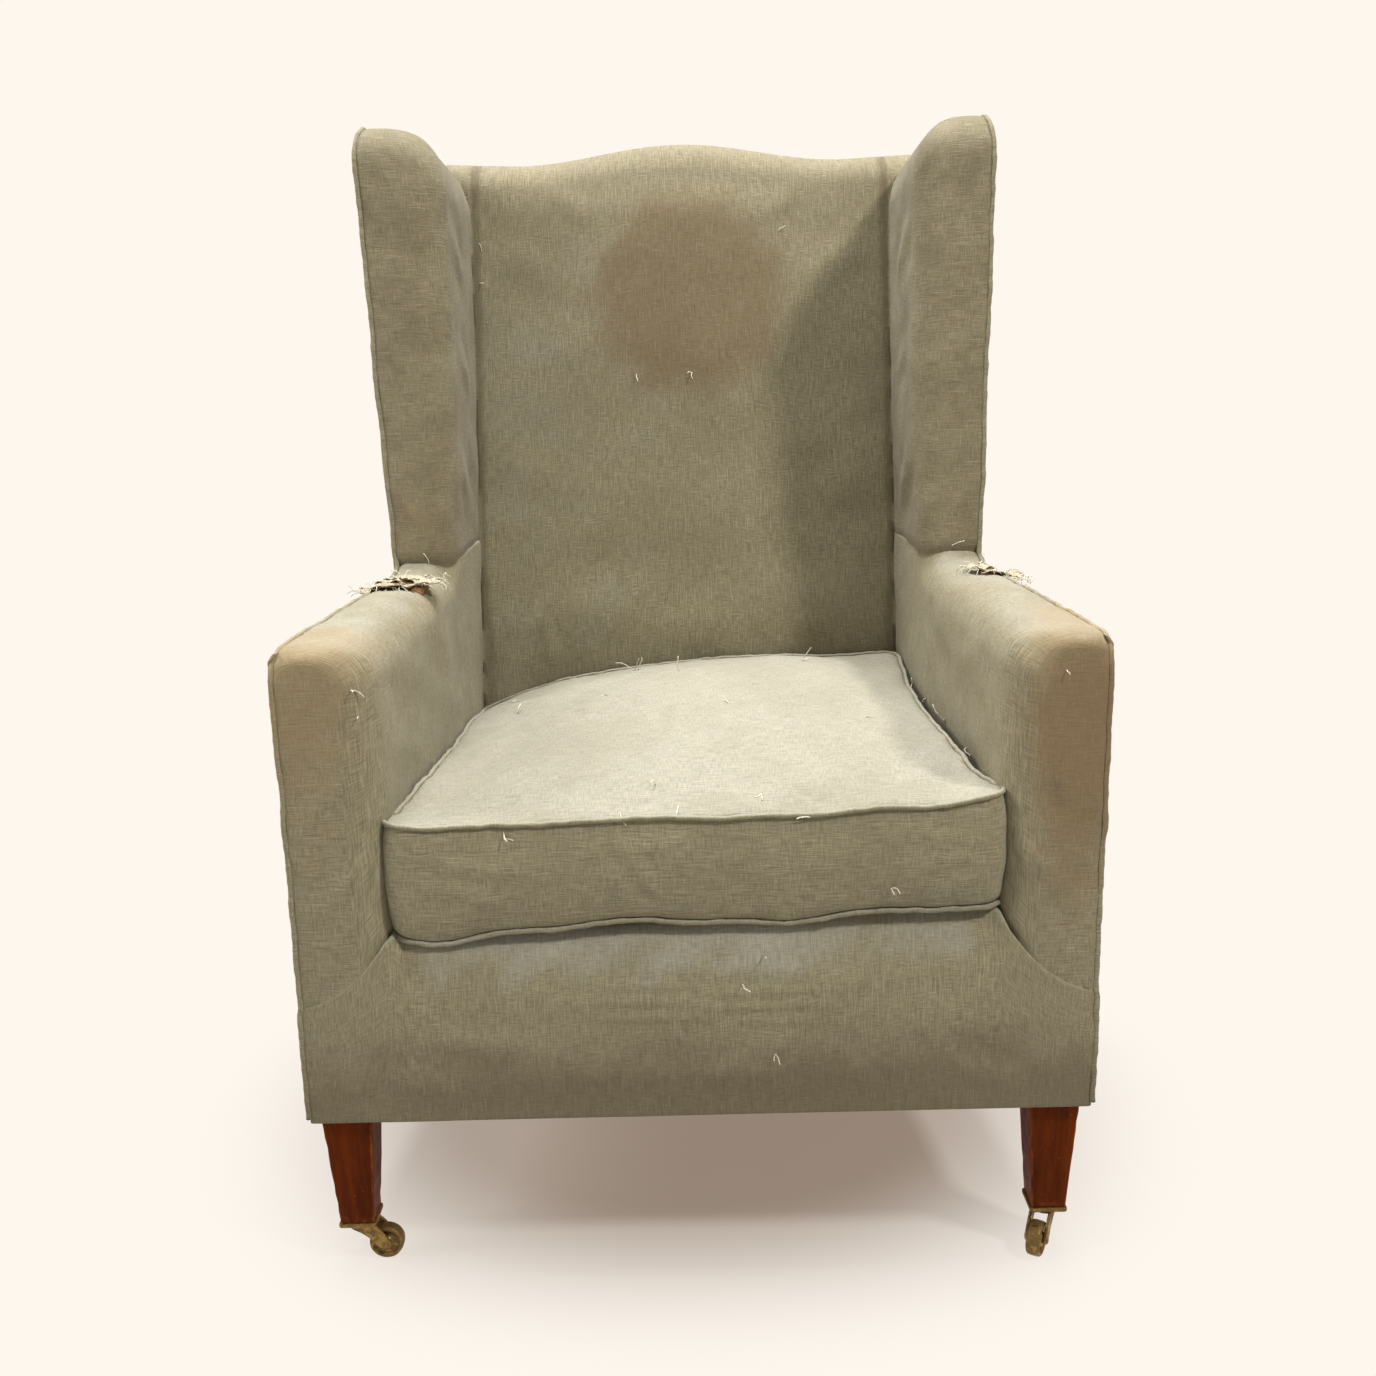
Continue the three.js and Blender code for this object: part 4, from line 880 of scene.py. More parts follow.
def seam_top(x, depth):
    """Height of the cushion's upper seam: a plane between four corners, with dips, lifted ears and the sag.

    Its back edge also rises in the middle by 30 mm (1 - |x / 270 mm|^2.2).
    """
    share_x = np.clip((x + 280 * MM) / (560 * MM), 0.0, 1.0)
    share_d = np.clip(depth / CUSHION_DEEP, 0.0, 1.0)
    front = (452 + 19 * share_x) * MM
    back = (452 + 42 * share_x + 30 * (1 - np.clip(np.abs(x) / (270 * MM), 0.0, 1.0) ** 2.2)) * MM
    height = front * (1 - share_d) + back * share_d
    place = np.stack([x, depth], -1)
    lifts = ((-284, 4, 26, 34, 6), (276, 4, 22, 34, 4), (262, 486, 50, 60, 14), (-262, 486, 60, 60, -8),
             (20, 0, 34, 30, -4), (110, 0, 60, 40, -6), (215, 0, 30, 30, -4), (-200, 0, 30, 30, 2),
             (276, 180, 30, 90, 6), (-276, 140, 30, 90, 9))
    for cx, cd, rx, rd, lift in lifts:
        height = height + lift * MM * bump_at(place, (cx * MM, cd * MM), (rx * MM, rd * MM))
    return height


def seam_low(x, depth):
    """Height of the cushion's lower seam: on the deck, drooping over the front of the border."""
    ahead = smooth(45 * MM, 10 * MM, depth)
    droop = sum(lift * MM * np.exp(-((x - cx * MM) / (rx * MM)) ** 2)
                for cx, rx, lift in ((-238, 36, -9), (-60, 44, 6), (82, 34, -5), (170, 40, 3)))
    return deck_height(x) + 1.5 * MM + ahead * (droop + (-1 * MM))


def cushion_plan(grow, drawn_in=0.0):
    """The cushion's outline seen from above: drawn_in pulls its sides in, the right one more than the left.

    Its front corners spread by 7 mm into the space beside the arms' rounded fronts.
    """
    front, back = CUSHION_FRONT - grow, back_face(SEAT_LEVEL) - 8 * MM
    corners = np.array([[[-inner(0.0) + 1 * MM - grow * 0.3, front],
                         [inner(0.0) - 1 * MM + grow * 0.3, front],
                         [inner(back) - 1 * MM, back], [-inner(back) + 1 * MM, back]]])
    plan = rounded_loops(corners, np.array([[28, 28, 24, 24]]) * MM, 12, (64, 54, 60, 54))[0]
    waist = np.sin(np.pi * np.clip(plan[:, 1] / CUSHION_DEEP, 0.0, 1.0))
    waist = waist * np.where(plan[:, 0] < 0, 0.35, 1.0)
    ears = 7 * MM * smooth(90 * MM, 10 * MM, plan[:, 1])
    at_side = smooth(200 * MM, 262 * MM, np.abs(plan[:, 0]))
    plan[:, 0] -= np.sign(plan[:, 0]) * (drawn_in * waist - ears) * at_side
    return plan


def cushion_form():
    """The boxed cushion: plan loops shrink to a pole below, climb the swelling border and shrink on top.

    The top is the upper seam's height plus crown (1 - |u|^3.2)(1 - |v|^2.4), with u and v across the seat.
    """
    crown, bulge = sizes().cushion_crown, sizes().cushion_bulge
    rows = []
    for scale in np.linspace(0.03, 0.97, 9):
        rows.append((scale, 0.0, "under"))
    rows += [(1.0, t, "band") for t in np.linspace(0.0, 1.0, 19)]
    rows += [(scale, 1.0, "top") for scale in np.sin(np.linspace(np.pi / 2, 0.0, 34))[1:-1]]
    loops = []
    for scale, t, kind in rows:
        grow = bulge * math.sin(math.pi * t ** 0.85) ** 0.6 if kind == "band" else 0.0
        plan = cushion_plan(grow - 5 * MM * (1 - t) ** 3, CUSHION_WAIST * t * t)
        centre = np.array([0.0, 235 * MM])
        place = centre + scale * (plan - centre)
        x, depth = place[:, 0], place[:, 1]
        upper, under = seam_top(x, depth), seam_low(x, depth)
        z = under + (upper - under) * t
        if kind == "top":
            u = np.clip(np.abs(x) / (272 * MM), 0, 1)
            v = np.clip(np.abs(depth - 240 * MM) / (250 * MM), 0, 1)
            z = upper + crown * (1 - u ** 3.2) * (1 - v ** 2.4)
        loops.append(np.stack([x, FRONT + depth, z], -1))
    return skin("cushion", np.asarray(loops), cap_rings=1)


def even_faces(obj, size):
    """Remeshes a closed piece into even faces of that size."""
    modifier = obj.modifiers.new("Even faces", "REMESH")
    modifier.mode = "VOXEL"
    modifier.voxel_size = size
    take_shape(obj)


def take_shape(obj):
    """Replaces a piece's mesh with its shape after modifiers, which are then removed."""
    shape = bpy.data.meshes.new_from_object(obj.evaluated_get(bpy.context.evaluated_depsgraph_get()))
    shape.name = obj.name
    obj.modifiers.clear()
    obj.data = shape
    shape.polygons.foreach_set("use_smooth", np.ones(len(shape.polygons), bool))
    shape.update()


def settle_cloth(obj, held, limit):
    """Blows the cushion up a little as cloth, held where held(points) is 1; no point moves past limit."""
    start = points_of(obj)
    group_made = obj.vertex_groups.new(name="Held")
    weights = held(start)
    for index in np.nonzero(weights > 0.02)[0].tolist():
        group_made.add([index], float(weights[index]), "REPLACE")
    cloth = obj.modifiers.new("Cloth", "CLOTH")
    settings = cloth.settings
    settings.quality = 4
    settings.mass = 0.4
    settings.tension_stiffness = 12
    settings.compression_stiffness = 12
    settings.bending_stiffness = 0.6
    settings.use_pressure = True
    settings.uniform_pressure_force = 4.0
    settings.vertex_group_mass = "Held"
    settings.effector_weights.gravity = 0.0
    cloth.collision_settings.use_collision = False
    scene = bpy.context.scene
    cloth.point_cache.frame_start, cloth.point_cache.frame_end = 1, 20
    for step in range(1, 21):
        scene.frame_set(step)
    take_shape(obj)
    moved = points_of(obj) - start
    length = np.linalg.norm(moved, axis=1, keepdims=True)
    set_points(obj, start + moved * np.minimum(1.0, limit / np.maximum(length, 1e-9)))
    obj.vertex_groups.clear()
    scene.frame_set(1)


def cushion_held(points):
    """1 on the two seams and underneath, 0 elsewhere, so that the panels between them may swell."""
    x, depth, z = points[:, 0], points[:, 1] - FRONT, points[:, 2]
    side_edge = inner(depth) - np.where(x < 0, 0.35, 1.0) * CUSHION_WAIST * (z > 440 * MM) - np.abs(x)
    edge = np.minimum(side_edge, np.minimum(depth - CUSHION_FRONT, back_face(z) - 10 * MM - depth))
    by_top, by_low = np.abs(z - seam_top(x, depth)) < 7 * MM, np.abs(z - seam_low(x, depth)) < 7 * MM
    seam = (edge < 8 * MM) & (by_top | by_low)
    return np.where(seam | (z < seam_low(x, depth) + 3 * MM), 1.0, 0.0)


def subdivide(obj):
    modifier = obj.modifiers.new("Smoother", "SUBSURF")
    modifier.levels = modifier.render_levels = 1
    take_shape(obj)


def box_map(obj):
    """A map in metres: each face is laid flat along the axis that its normal is nearest to."""
    mesh = obj.data
    count = len(mesh.loops)
    vertex = np.empty(count, np.int32)
    mesh.loops.foreach_get("vertex_index", vertex)
    points = points_of(obj)[vertex]
    face_normals = np.empty(len(mesh.polygons) * 3, np.float32)
    mesh.polygons.foreach_get("normal", face_normals)
    totals = np.empty(len(mesh.polygons), np.int32)
    mesh.polygons.foreach_get("loop_total", totals)
    normals = np.repeat(face_normals.reshape(-1, 3), totals, axis=0)
    axis = np.argmax(np.abs(normals) * np.array([1.0, 1.0, 1.15]), axis=1)
    u = np.where(axis == 0, points[:, 1], points[:, 0])
    v = np.where(axis == 2, points[:, 1], points[:, 2])
    layer = mesh.uv_layers.get("UVMap") or mesh.uv_layers.new(name="UVMap")
    layer.data.foreach_set("uv", np.stack([u, v], -1).astype(np.float32).ravel())


def cushion_creases(points, normals):
    """Dents and soft folds: diagonal creases on the front border, hollows and pulls on the top."""
    front = smooth(-0.2, -0.8, normals[:, 1])
    top = smooth(0.3, 0.9, normals[:, 2])
    move = stitched(points, 1.1 * MM, 90 * MM, 21)
    lines = ((-62, 434, -34, 380, 7, 2.0), (-22, 430, 2, 398, 6, 1.3), (92, 446, 112, 396, 8, 1.0),
             (-252, 425, -150, 408, 7, 1.1), (-258, 402, -170, 384, 7, 1.1), (205, 440, 262, 434, 6, 0.9),
             (-110, 440, 20, 432, 10, 0.9), (40, 402, 150, 418, 12, 0.9), (215, 420, 268, 412, 6, 0.9))
    for x0, z0, x1, z1, width, height in lines:
        start = (x0 * MM, FRONT - 2 * MM, z0 * MM)
        end = (x1 * MM, FRONT - 2 * MM, z1 * MM)
        move = move + front * fold(points, start, end, width * MM, height * MM)
    lines = ((-235, 40, -120, 95, 20, 3.4), (60, 25, 150, 60, 18, 2.6), (190, 60, 120, 190, 24, 3.0),
             (-180, 240, -60, 330, 30, 3.2), (40, 330, 190, 380, 26, 3.0), (-240, 400, -150, 330, 22, 3.0),
             (215, 330, 250, 440, 22, 3.4), (-60, 60, 10, 130, 24, 2.2), (235, 100, 205, 30, 16, 2.4),
             (-250, 150, -205, 235, 18, 2.6))
    for x0, d0, x1, d1, width, height in lines:
        start = (x0 * MM, FRONT + d0 * MM, 478 * MM)
        end = (x1 * MM, FRONT + d1 * MM, 490 * MM)
        move = move + top * fold(points, start, end, width * MM, height * MM)
    hollow = bump_at(points, (-60 * MM, FRONT + 190 * MM, 490 * MM), (150 * MM, 130 * MM, 80 * MM))
    return move - top * sizes().sag * hollow


def surface_tree(obj):
    obj.data.calc_loop_triangles()
    return BVHTree.FromObject(obj, bpy.context.evaluated_depsgraph_get())


def laid_on(tree, path, lift):
    """Moves each point of a path to the nearest point of a surface, then out by lift along its normal."""
    placed = []
    for point in path:
        spot, normal, _, _ = tree.find_nearest(Vector(point))
        placed.append(np.asarray(spot) + lift * np.asarray(normal))
    return np.asarray(placed)


def evened(path, spacing):
    """The same path with evenly spaced points, smoothed once."""
    length = np.concatenate([[0.0], np.cumsum(np.linalg.norm(np.diff(path, axis=0), axis=1))])
    stations = np.linspace(0.0, length[-1], max(int(length[-1] / spacing), 4))
    even = np.stack([np.interp(stations, length, path[:, k]) for k in range(3)], -1)
    soft = even.copy()
    soft[1:-1] = 0.25 * even[:-2] + 0.5 * even[1:-1] + 0.25 * even[2:]
    return soft


def build_cushion():
    obj = cushion_form()
    even_faces(obj, 6 * MM)
    settle_cloth(obj, cushion_held, 24 * MM)
    subdivide(obj)
    push(obj, cushion_creases)
    box_map(obj)
    weather(obj)
    settle(obj, ["seat_cushion"], linen_material())
    surface = surface_tree(obj)
    cords = []
    seams = (("top", seam_top, 0.8, CUSHION_WAIST), ("bottom", seam_low, 1.1, 0.0))
    for label, height, sink, drawn_in in seams:
        plan = np.roll(cushion_plan(-5 * MM * (drawn_in == 0), drawn_in), -150, axis=0)
        plan = np.concatenate([plan, plan[:3]])
        x, depth = plan[:, 0], plan[:, 1]
        path = np.stack([x * 1.01, FRONT + depth - 1 * MM, height(x, depth)], -1)
        path = evened(laid_on(surface, evened(path, 4 * MM), sizes().piping * sink), 3 * MM)
        path[:, 2] += 0.7 * MM * ripple(path, 22 * MM, 31)
        cords.append(tube("cushion_piping_" + label, path, sizes().piping, 9, 0.14, 7))
    piping = join("cushion_piping", cords)
    weather(piping)
    settle(piping, [], linen_material())


# ------------------------------------------------------------------ border, arms and wings
SEAM_OUTER = 285 * MM
SEAM_RISE = 58 * MM
SEAM_RUN = 82 * MM


def border_seam(x):
    """Height of the seam between the border and an arm front: 285 + 58 t^2 mm, t from the outside in."""
    t = np.clip((HALF - np.abs(x)) / SEAM_RUN, 0.0, 1.15)
    return SEAM_OUTER + SEAM_RISE * t * t


def border_folds(points, normals):
    """Slack pulls across the border, long level wrinkles in its middle and a belly low down."""
    facing = smooth(-0.3, -0.85, normals[:, 1])
    x, z = points[:, 0], points[:, 2]
    move = 1.1 * MM * ripple(points, 120 * MM, 41, squeeze=(0.5, 1.0, 1.4))
    lines = ((-90, 300, 40, 297, 4, 1.2), (-20, 290, 150, 294, 4, 1.3), (-130, 286, 10, 284, 4, 1.1),
             (-30, 277, 130, 280, 4, 1.3), (-110, 270, 30, 268, 4, 1.0), (20, 264, 120, 262, 4, 0.9),
             (-260, 250, -150, 236, 12, 1.2), (150, 300, 270, 318, 10, 1.2), (-60, 312, 120, 309, 7, 1.0),
             (-300, 215, -230, 190, 10, 1.2), (220, 220, 310, 190, 11, 1.2), (-40, 214, 90, 205, 11, 1.0))
    move = with_folds(move, points, lines, lambda x0, z0: (x0 * MM, FRONT, z0 * MM))
    belly = 5 * MM * np.exp(-((x / (230 * MM)) ** 2))
    belly = belly * smooth(164 * MM, 215 * MM, z) * smooth(345 * MM, 270 * MM, z)
    return facing * (move + belly)


def build_border():
    """The front border: a section carried across, whose top rolls back under the cushion."""
    stations = eased(-HALF + 1.2 * MM, HALF - 1.2 * MM, 5 * MM, 5 * MM, 124, 0.08)
    under = np.minimum(deck_height(stations), 365 * MM) - 1.5 * MM
    middle = smooth(288 * MM, 276 * MM, np.abs(stations))
    top = border_seam(stations) * (1 - middle) + under * middle
    deep = 5.5 * MM + (40 * MM) * middle
    keel = 246 * MM * np.ones_like(stations)
    end = round_over(HALF - np.abs(stations), 5 * MM, 3.0 * MM)
    face = -1.2 * MM + end
    corner = np.zeros((len(stations), 6, 2))
    corner[:, 0] = np.stack([face, BOTTOM + 0 * stations], -1)
    corner[:, 1] = np.stack([face, top], -1)
    corner[:, 2] = np.stack([deep, top], -1)
    corner[:, 3] = np.stack([deep, np.minimum(keel, top - 12 * MM)], -1)
    corner[:, 4] = np.stack([5.5 * MM + 0 * stations, np.minimum(keel - 6 * MM, top - 20 * MM)], -1)
    corner[:, 5] = np.stack([5.5 * MM + 0 * stations, BOTTOM + 0 * stations], -1)
    radii = np.zeros((len(stations), 6)) + 1.5 * MM
    radii[:, 1] = 3.5 * MM + 8 * MM * middle
    radii[:, 0] = 2.5 * MM
    loops = rounded_loops(corner, radii, 5, (44, 8, 4, 2, 10, 2))
    width = loops.shape[1]
    climbed = np.clip((loops[..., 1] - top[:, None] + 70 * MM) / (70 * MM), 0.0, 1.0)
    rolled = 20 * MM * climbed ** 2 * middle[:, None] * np.clip(1 - loops[..., 0] / (40 * MM), 0.0, 1.0)
    across = np.repeat(stations[:, None], width, 1)
    grid = np.stack([across, FRONT + loops[..., 0] + rolled, loops[..., 1]], -1)
    obj = skin("border", grid, cap_rings=2)
    push(obj, border_folds)
    weather(obj, 0.08)
    settle(obj, ["front_border"], linen_material())


def on_side(side):
    """Turns x, depth and z in millimetres, given for the right hand, into a place on either side."""
    return lambda x, depth, z: (side * x * MM, FRONT + depth * MM, z * MM)


def arm_folds(side):
    """Pleats where the cover gathers over the arm's front corner, and slack ripples elsewhere."""
    def field(points, normals):
        move = stitched(points, 0.9 * MM, 80 * MM, 51 if side < 0 else 53)
        pleats = ((364, 0, 590, 356, 26, 622, 4, 2.2), (350, 0, 596, 345, 30, 622, 4, 2.4),
                  (338, 0, 592, 332, 32, 622, 5, 2.2), (322, 0, 588, 312, 30, 620, 5, 1.8),
                  (304, 4, 584, 292, 34, 616, 6, 1.6))
        lines = ((366, 5, 606, 354, 13, 617, 3, 2.4), (354, 13, 617, 336, 15, 619, 3, 2.6),
                 (336, 15, 619, 318, 12, 608, 3, 2.2), (300, 0, 500, 355, 0, 470, 9, 1.2),
                 (296, 0, 430, 340, 0, 372, 9, 1.8), (340, 0, 330, 300, 0, 400, 9, 1.2),
                 (278, 90, 590, 276, 210, 560, 16, 1.2), (278, 240, 600, 274, 340, 540, 16, 1.2),
                 (277, 60, 520, 275, 150, 490, 14, 1.0), (330, 130, 626, 300, 260, 630, 16, 1.8))
        move = with_folds(move, points, pleats + lines, on_side(side))
        torn = bump_at(points, (side * 316 * MM, FRONT + 290 * MM, 634 * MM), (30 * MM, 24 * MM, 20 * MM))
        return move - 3 * MM * torn
    return field


def build_arm(hand, side):
    """An arm: its section carried back; its front is rounded and its top sweeps up the wing."""
    depths = np.concatenate([eased(0.0, 310 * MM, 32 * MM, 0.0, 64, 0.3),
                             np.linspace(313 * MM, 430 * MM, 40),
                             np.linspace(437 * MM, 535 * MM, 15)])
    inset_in = round_over(depths, 34 * MM, 32 * MM)
    inset_top = round_over(depths, 24 * MM, 19 * MM)
    inset_out = round_over(depths, 7 * MM, 5 * MM)
    x_out = outer(depths) - 1.0 * MM - inset_out
    x_in = inner(depths) + inset_in + 0.5 * MM
    top = arm_top(depths) - inset_top
    count = 7
    share = np.linspace(0.0, 1.0, count)
    under_x = x_in[:, None] * (1 - share) + x_out[:, None] * share
    under = np.stack([under_x, border_seam(under_x) - 5 * MM], -1)
    over = np.stack([np.stack([x_out, top], -1), np.stack([x_in, top], -1)], 1)
    corners = np.concatenate([under, over], axis=1)
    radii = np.full(corners.shape[:2], 1.5 * MM)
    radii[:, count] = ARM_ROUND
    radii[:, count + 1] = 38 * MM - 34 * MM * smooth(WING_DEPTH - 10 * MM, WING_DEPTH + WING_ROUND, depths)
    loops = rounded_loops(corners, radii, 9, (1,) * (count - 1) + (38, 8, 34))
    width = loops.shape[1]
    back = np.repeat(depths[:, None], width, 1)
    near_top = smooth(-36 * MM, -4 * MM, loops[..., 1] - top[:, None])
    swept = (arm_level(loops[..., 0], back) - arm_top(back)) * near_top
    grid = np.stack([side * loops[..., 0], FRONT + back, loops[..., 1] + swept], -1)
    obj = skin(hand + "_arm", grid, cap_rings=14, bulge=(2.5 * MM, 0.0),
               cap_plane=lambda p: np.stack([p[..., 0], p[..., 2]], -1))
    push(obj, arm_folds(side))
    weather(obj)
    settle(obj, [hand + "_arm_pad"], linen_material())


def wing_folds(side):
    def field(points, normals):
        move = stitched(points, 1.0 * MM, 85 * MM, 61 if side < 0 else 67)
        lines = ((300, 385, 1080, 262, 400, 1040, 8, 1.8), (330, 388, 1095, 300, 386, 1040, 8, 1.6),
                 (345, 392, 1070, 325, 385, 1010, 7, 1.4), (258, 440, 1020, 258, 520, 960, 14, 2.4),
                 (258, 420, 760, 257, 500, 690, 15, 2.6), (258, 450, 880, 258, 520, 850, 13, 1.8),
                 (335, 366, 735, 295, 366, 690, 10, 1.6), (300, 368, 730, 265, 380, 690, 9, 1.4))
        return with_folds(move, points, lines, on_side(side))
    return field


def outside_back_depth(z):
    """Depth of the outside back: upright below the knee of the posts, raked above it."""
    return np.maximum(594.5 * MM, 603.5 * MM + BACK_RAKE * (z - SEAT_LEVEL))


def wing_crown(depth):
    """How far the wing's top edge has dropped at a depth behind its highest point."""
    return 0.085 * np.maximum(depth - 440 * MM, 0.0)


def build_wing(hand, side):
    """A wing: its plan section carried up; near the top the section shrinks so that the edges round over.

    Its foot is tucked a little inside the arm's cover, which sweeps up round it.
    """
    heights = eased(ARM_JOIN - 26 * MM, WING_TOP, 6 * MM, 72 * MM, 108, 0.24)
    rise = WING_TOP - heights
    tucked = 2.2 * MM * smooth(ARM_JOIN + WING_FOOT + 9 * MM, ARM_JOIN + WING_FOOT, heights)
    inset_in = round_over(rise, 72 * MM, 48 * MM) + tucked
    inset_out = round_over(rise, 13 * MM, 9 * MM) + tucked
    inset_front = round_over(rise, 46 * MM, 46 * MM) + tucked
    front = wing_front(heights) + inset_front
    rear = outside_back_depth(heights) - 7 * MM
    freed = smooth(ARM_JOIN, ARM_JOIN + 160 * MM, heights)
    near = inner(BACK_DEPTH) + 0.5 * MM
    near_front = (inner(front) + 0.7 * MM) * (1 - freed) + near * freed + inset_in
    corners = np.stack([
        np.stack([wing_outer(front, heights, side) - 1.0 * MM - inset_out, front], -1),
        np.stack([near_front, front], -1),
        np.stack([near - 3 * MM + inset_in, rear], -1),
        np.stack([wing_outer(rear, heights, side) - 3 * MM - inset_out, rear], -1)], 1)
    radii = np.tile(np.array([7 * MM, WING_ROUND, 8 * MM, 6 * MM]), (len(heights), 1))
    loops = rounded_loops(corners, radii, 10, (10, 34, 10, 40))
    height = np.repeat(heights[:, None], loops.shape[1], 1)
    lean = smooth(WING_TOP - 260 * MM, WING_TOP, height)
    height = height - wing_crown(loops[..., 1]) * lean
    grid = np.stack([side * loops[..., 0], FRONT + loops[..., 1], height], -1)
    obj = skin(hand + "_wing", grid, cap_rings=9, bulge=(0.0, 1.5 * MM),
               cap_plane=lambda p: np.stack([p[..., 0], p[..., 1]], -1))
    push(obj, wing_folds(side))
    # the 0.45 darkens the whole wing in blotches: painted shade
    weather(obj, 0.45)
    settle(obj, [hand + "_wing_pad"], linen_material())


def piping_path(side):
    """The side piping: up the arm's front edge, back along its top, up the wing's edge and over its top."""
    climb = np.linspace(BOTTOM + 5 * MM, ARM_FRONT_TOP - 30 * MM, 60)
    front = np.stack([outer(0.0) + 0 * climb, 0 * climb, climb], -1)
    turn = np.linspace(0.0, np.pi / 2, 12)[1:]
    bend = np.stack([outer(0.0) - 4.5 * MM * np.sin(turn) ** 2, 28 * MM * (1 - np.cos(turn)),
                     ARM_FRONT_TOP - 30 * MM + 27 * MM * np.sin(turn)], -1)
    run = np.linspace(36 * MM, WING_DEPTH - 3 * MM, 70)
    top = np.stack([outer(run) - 4.5 * MM, run, arm_level(outer(run), run) - 3.5 * MM], -1)
    rise = np.linspace(ARM_JOIN + WING_FOOT + 12 * MM, WING_TOP - 34 * MM, 90)
    edge = wing_front(rise)
    wing = np.stack([wing_outer(edge, rise, side) - 0.3 * MM, edge - 0.5 * MM, rise], -1)
    depth = wing_front(WING_TOP) + 46 * MM * (1 - np.cos(turn)) * 0.9
    over = np.stack([wing_outer(depth, WING_TOP, side) - 1.5 * MM - 3 * MM * np.sin(turn), depth,
                     WING_TOP - 34 * MM + 33 * MM * np.sin(turn) - wing_crown(depth)], -1)
    last = np.linspace(depth[-1] + 8 * MM, 690 * MM, 34)
    crest = np.stack([wing_outer(last, WING_TOP, side) - 5 * MM, last,
                      WING_TOP - 2 * MM - wing_crown(last)], -1)
    path = np.concatenate([front, bend, top, wing, over, crest])
    path[:, 0] *= side
    path[:, 1] += FRONT
    return path


def build_side_piping(hand, side, surfaces):
    """The piping laid on the arm and wing: each point is drawn in until it lies on the nearest cloth."""
    radius = sizes().piping
    placed = []
    for point in evened(piping_path(side), 5 * MM):
        hits = [tree.find_nearest(Vector(point)) for tree in surfaces]
        spot, normal, _, away = min(hits, key=lambda hit: hit[3])
        spot = np.asarray(spot)
        out = point - spot if (point - spot) @ np.asarray(normal) > 0 else np.asarray(normal)
        near = spot + 0.5 * radius * out / max(np.linalg.norm(out), 1e-9)
        placed.append(near if away < 14 * MM else point)
    path = evened(evened(np.asarray(placed), 4 * MM), 3 * MM)
    path += 0.6 * MM * np.stack([ripple(path, 26 * MM, 71 + k) for k in range(3)], -1)
    obj = tube(hand + "_side_piping", path, radius, 9, 0.14, 73)
    weather(obj)
    settle(obj, [hand + "_piping"], linen_material())


def panel_wrap(front, rear, out):
    """Sections of an outside cover: an L in plan, down the chair's side and round its back corner."""
    inward = 268 * MM + 0 * rear
    corners = np.stack([
        np.stack([out(front), front], -1), np.stack([out(rear), rear], -1), np.stack([inward, rear], -1),
        np.stack([inward, rear - COVER_THICK], -1),
        np.stack([out(rear) - COVER_THICK - 1 * MM, rear - COVER_THICK - 1 * MM], -1),
        np.stack([out(front) - COVER_THICK, front], -1)], 1)
    radii = np.tile(np.array([1.2, 9, 1.1, 1.1, 6, 1.2]) * MM, (len(rear), 1))
    return rounded_loops(corners, radii, 5, (56, 6, 1, 6, 56, 1))


def build_outside(hand, side):
    """The outside arm and outside wing covers, stretched flat and tacked behind the back posts.

    Both faces of a cover move together, outwards or inwards, by a slack that dies away at its edges.
    """
    parts = (("arm", BOTTOM, ARM_JOIN - 5 * MM), ("wing", ARM_JOIN - 4 * MM, WING_TOP - 7 * MM))
    for part, foot, roof in parts:
        share = np.linspace(0.0, 1.0, 64)
        rows = foot + (roof - foot) * share
        ends = round_over(rows - foot, 5 * MM, 1.6 * MM) + round_over(roof - rows, 5 * MM, 1.6 * MM)
        rear = outside_back_depth(rows) + 0.6 * MM
        if part == "arm":
            loops = panel_wrap(np.full_like(rows, 5 * MM), rear, lambda d: outer(d) + 1.2 * MM - ends)
            line = np.minimum(arm_top(loops[..., 1]) - 6 * MM, roof)
            height = foot + (line - foot) * share[:, None]
            over = np.clip(height - arm_top(loops[..., 1]) + ARM_ROUND, 0.0, ARM_ROUND)
            over = over * (loops[..., 1] < WING_DEPTH + 4 * MM)
            loops[..., 0] -= ARM_ROUND - np.sqrt(ARM_ROUND ** 2 - over ** 2)
        else:
            front = wing_front(rows) + 5 * MM + round_over(WING_TOP - rows, 46 * MM, 46 * MM)
            loops = panel_wrap(front, rear, lambda d: wing_outer(d, rows, side) + 1.2 * MM - ends)
            height = np.repeat(rows[:, None], loops.shape[1], 1)
            height = height - wing_crown(loops[..., 1]) * smooth(WING_TOP - 260 * MM, WING_TOP, height)
        grid = np.stack([0 * height, FRONT + loops[..., 1], height], -1)
        loose = smooth(30 * MM, 110 * MM, rear[:, None] - loops[..., 1])
        loose = loose * smooth(0.0, 60 * MM, loops[..., 1] - 5 * MM)
        loose = loose * smooth(0.0, 0.14, share)[:, None] * smooth(1.0, 0.86, share)[:, None]
        sunk = bump_at(grid, (0.0, FRONT + 300 * MM, 400 * MM), (1.0, 170 * MM, 120 * MM))
        slack = loose * (1.8 * MM * ripple(grid, 170 * MM, 81 if part == "arm" else 83) - 3 * MM * sunk)
        grid[..., 0] = side * (loops[..., 0] + slack)
        obj = skin(hand + "_outside_" + part + "_cover", grid, joined=True)
        weather(obj, 0.08)
        settle(obj, [hand + "_outside_" + part], linen_material())


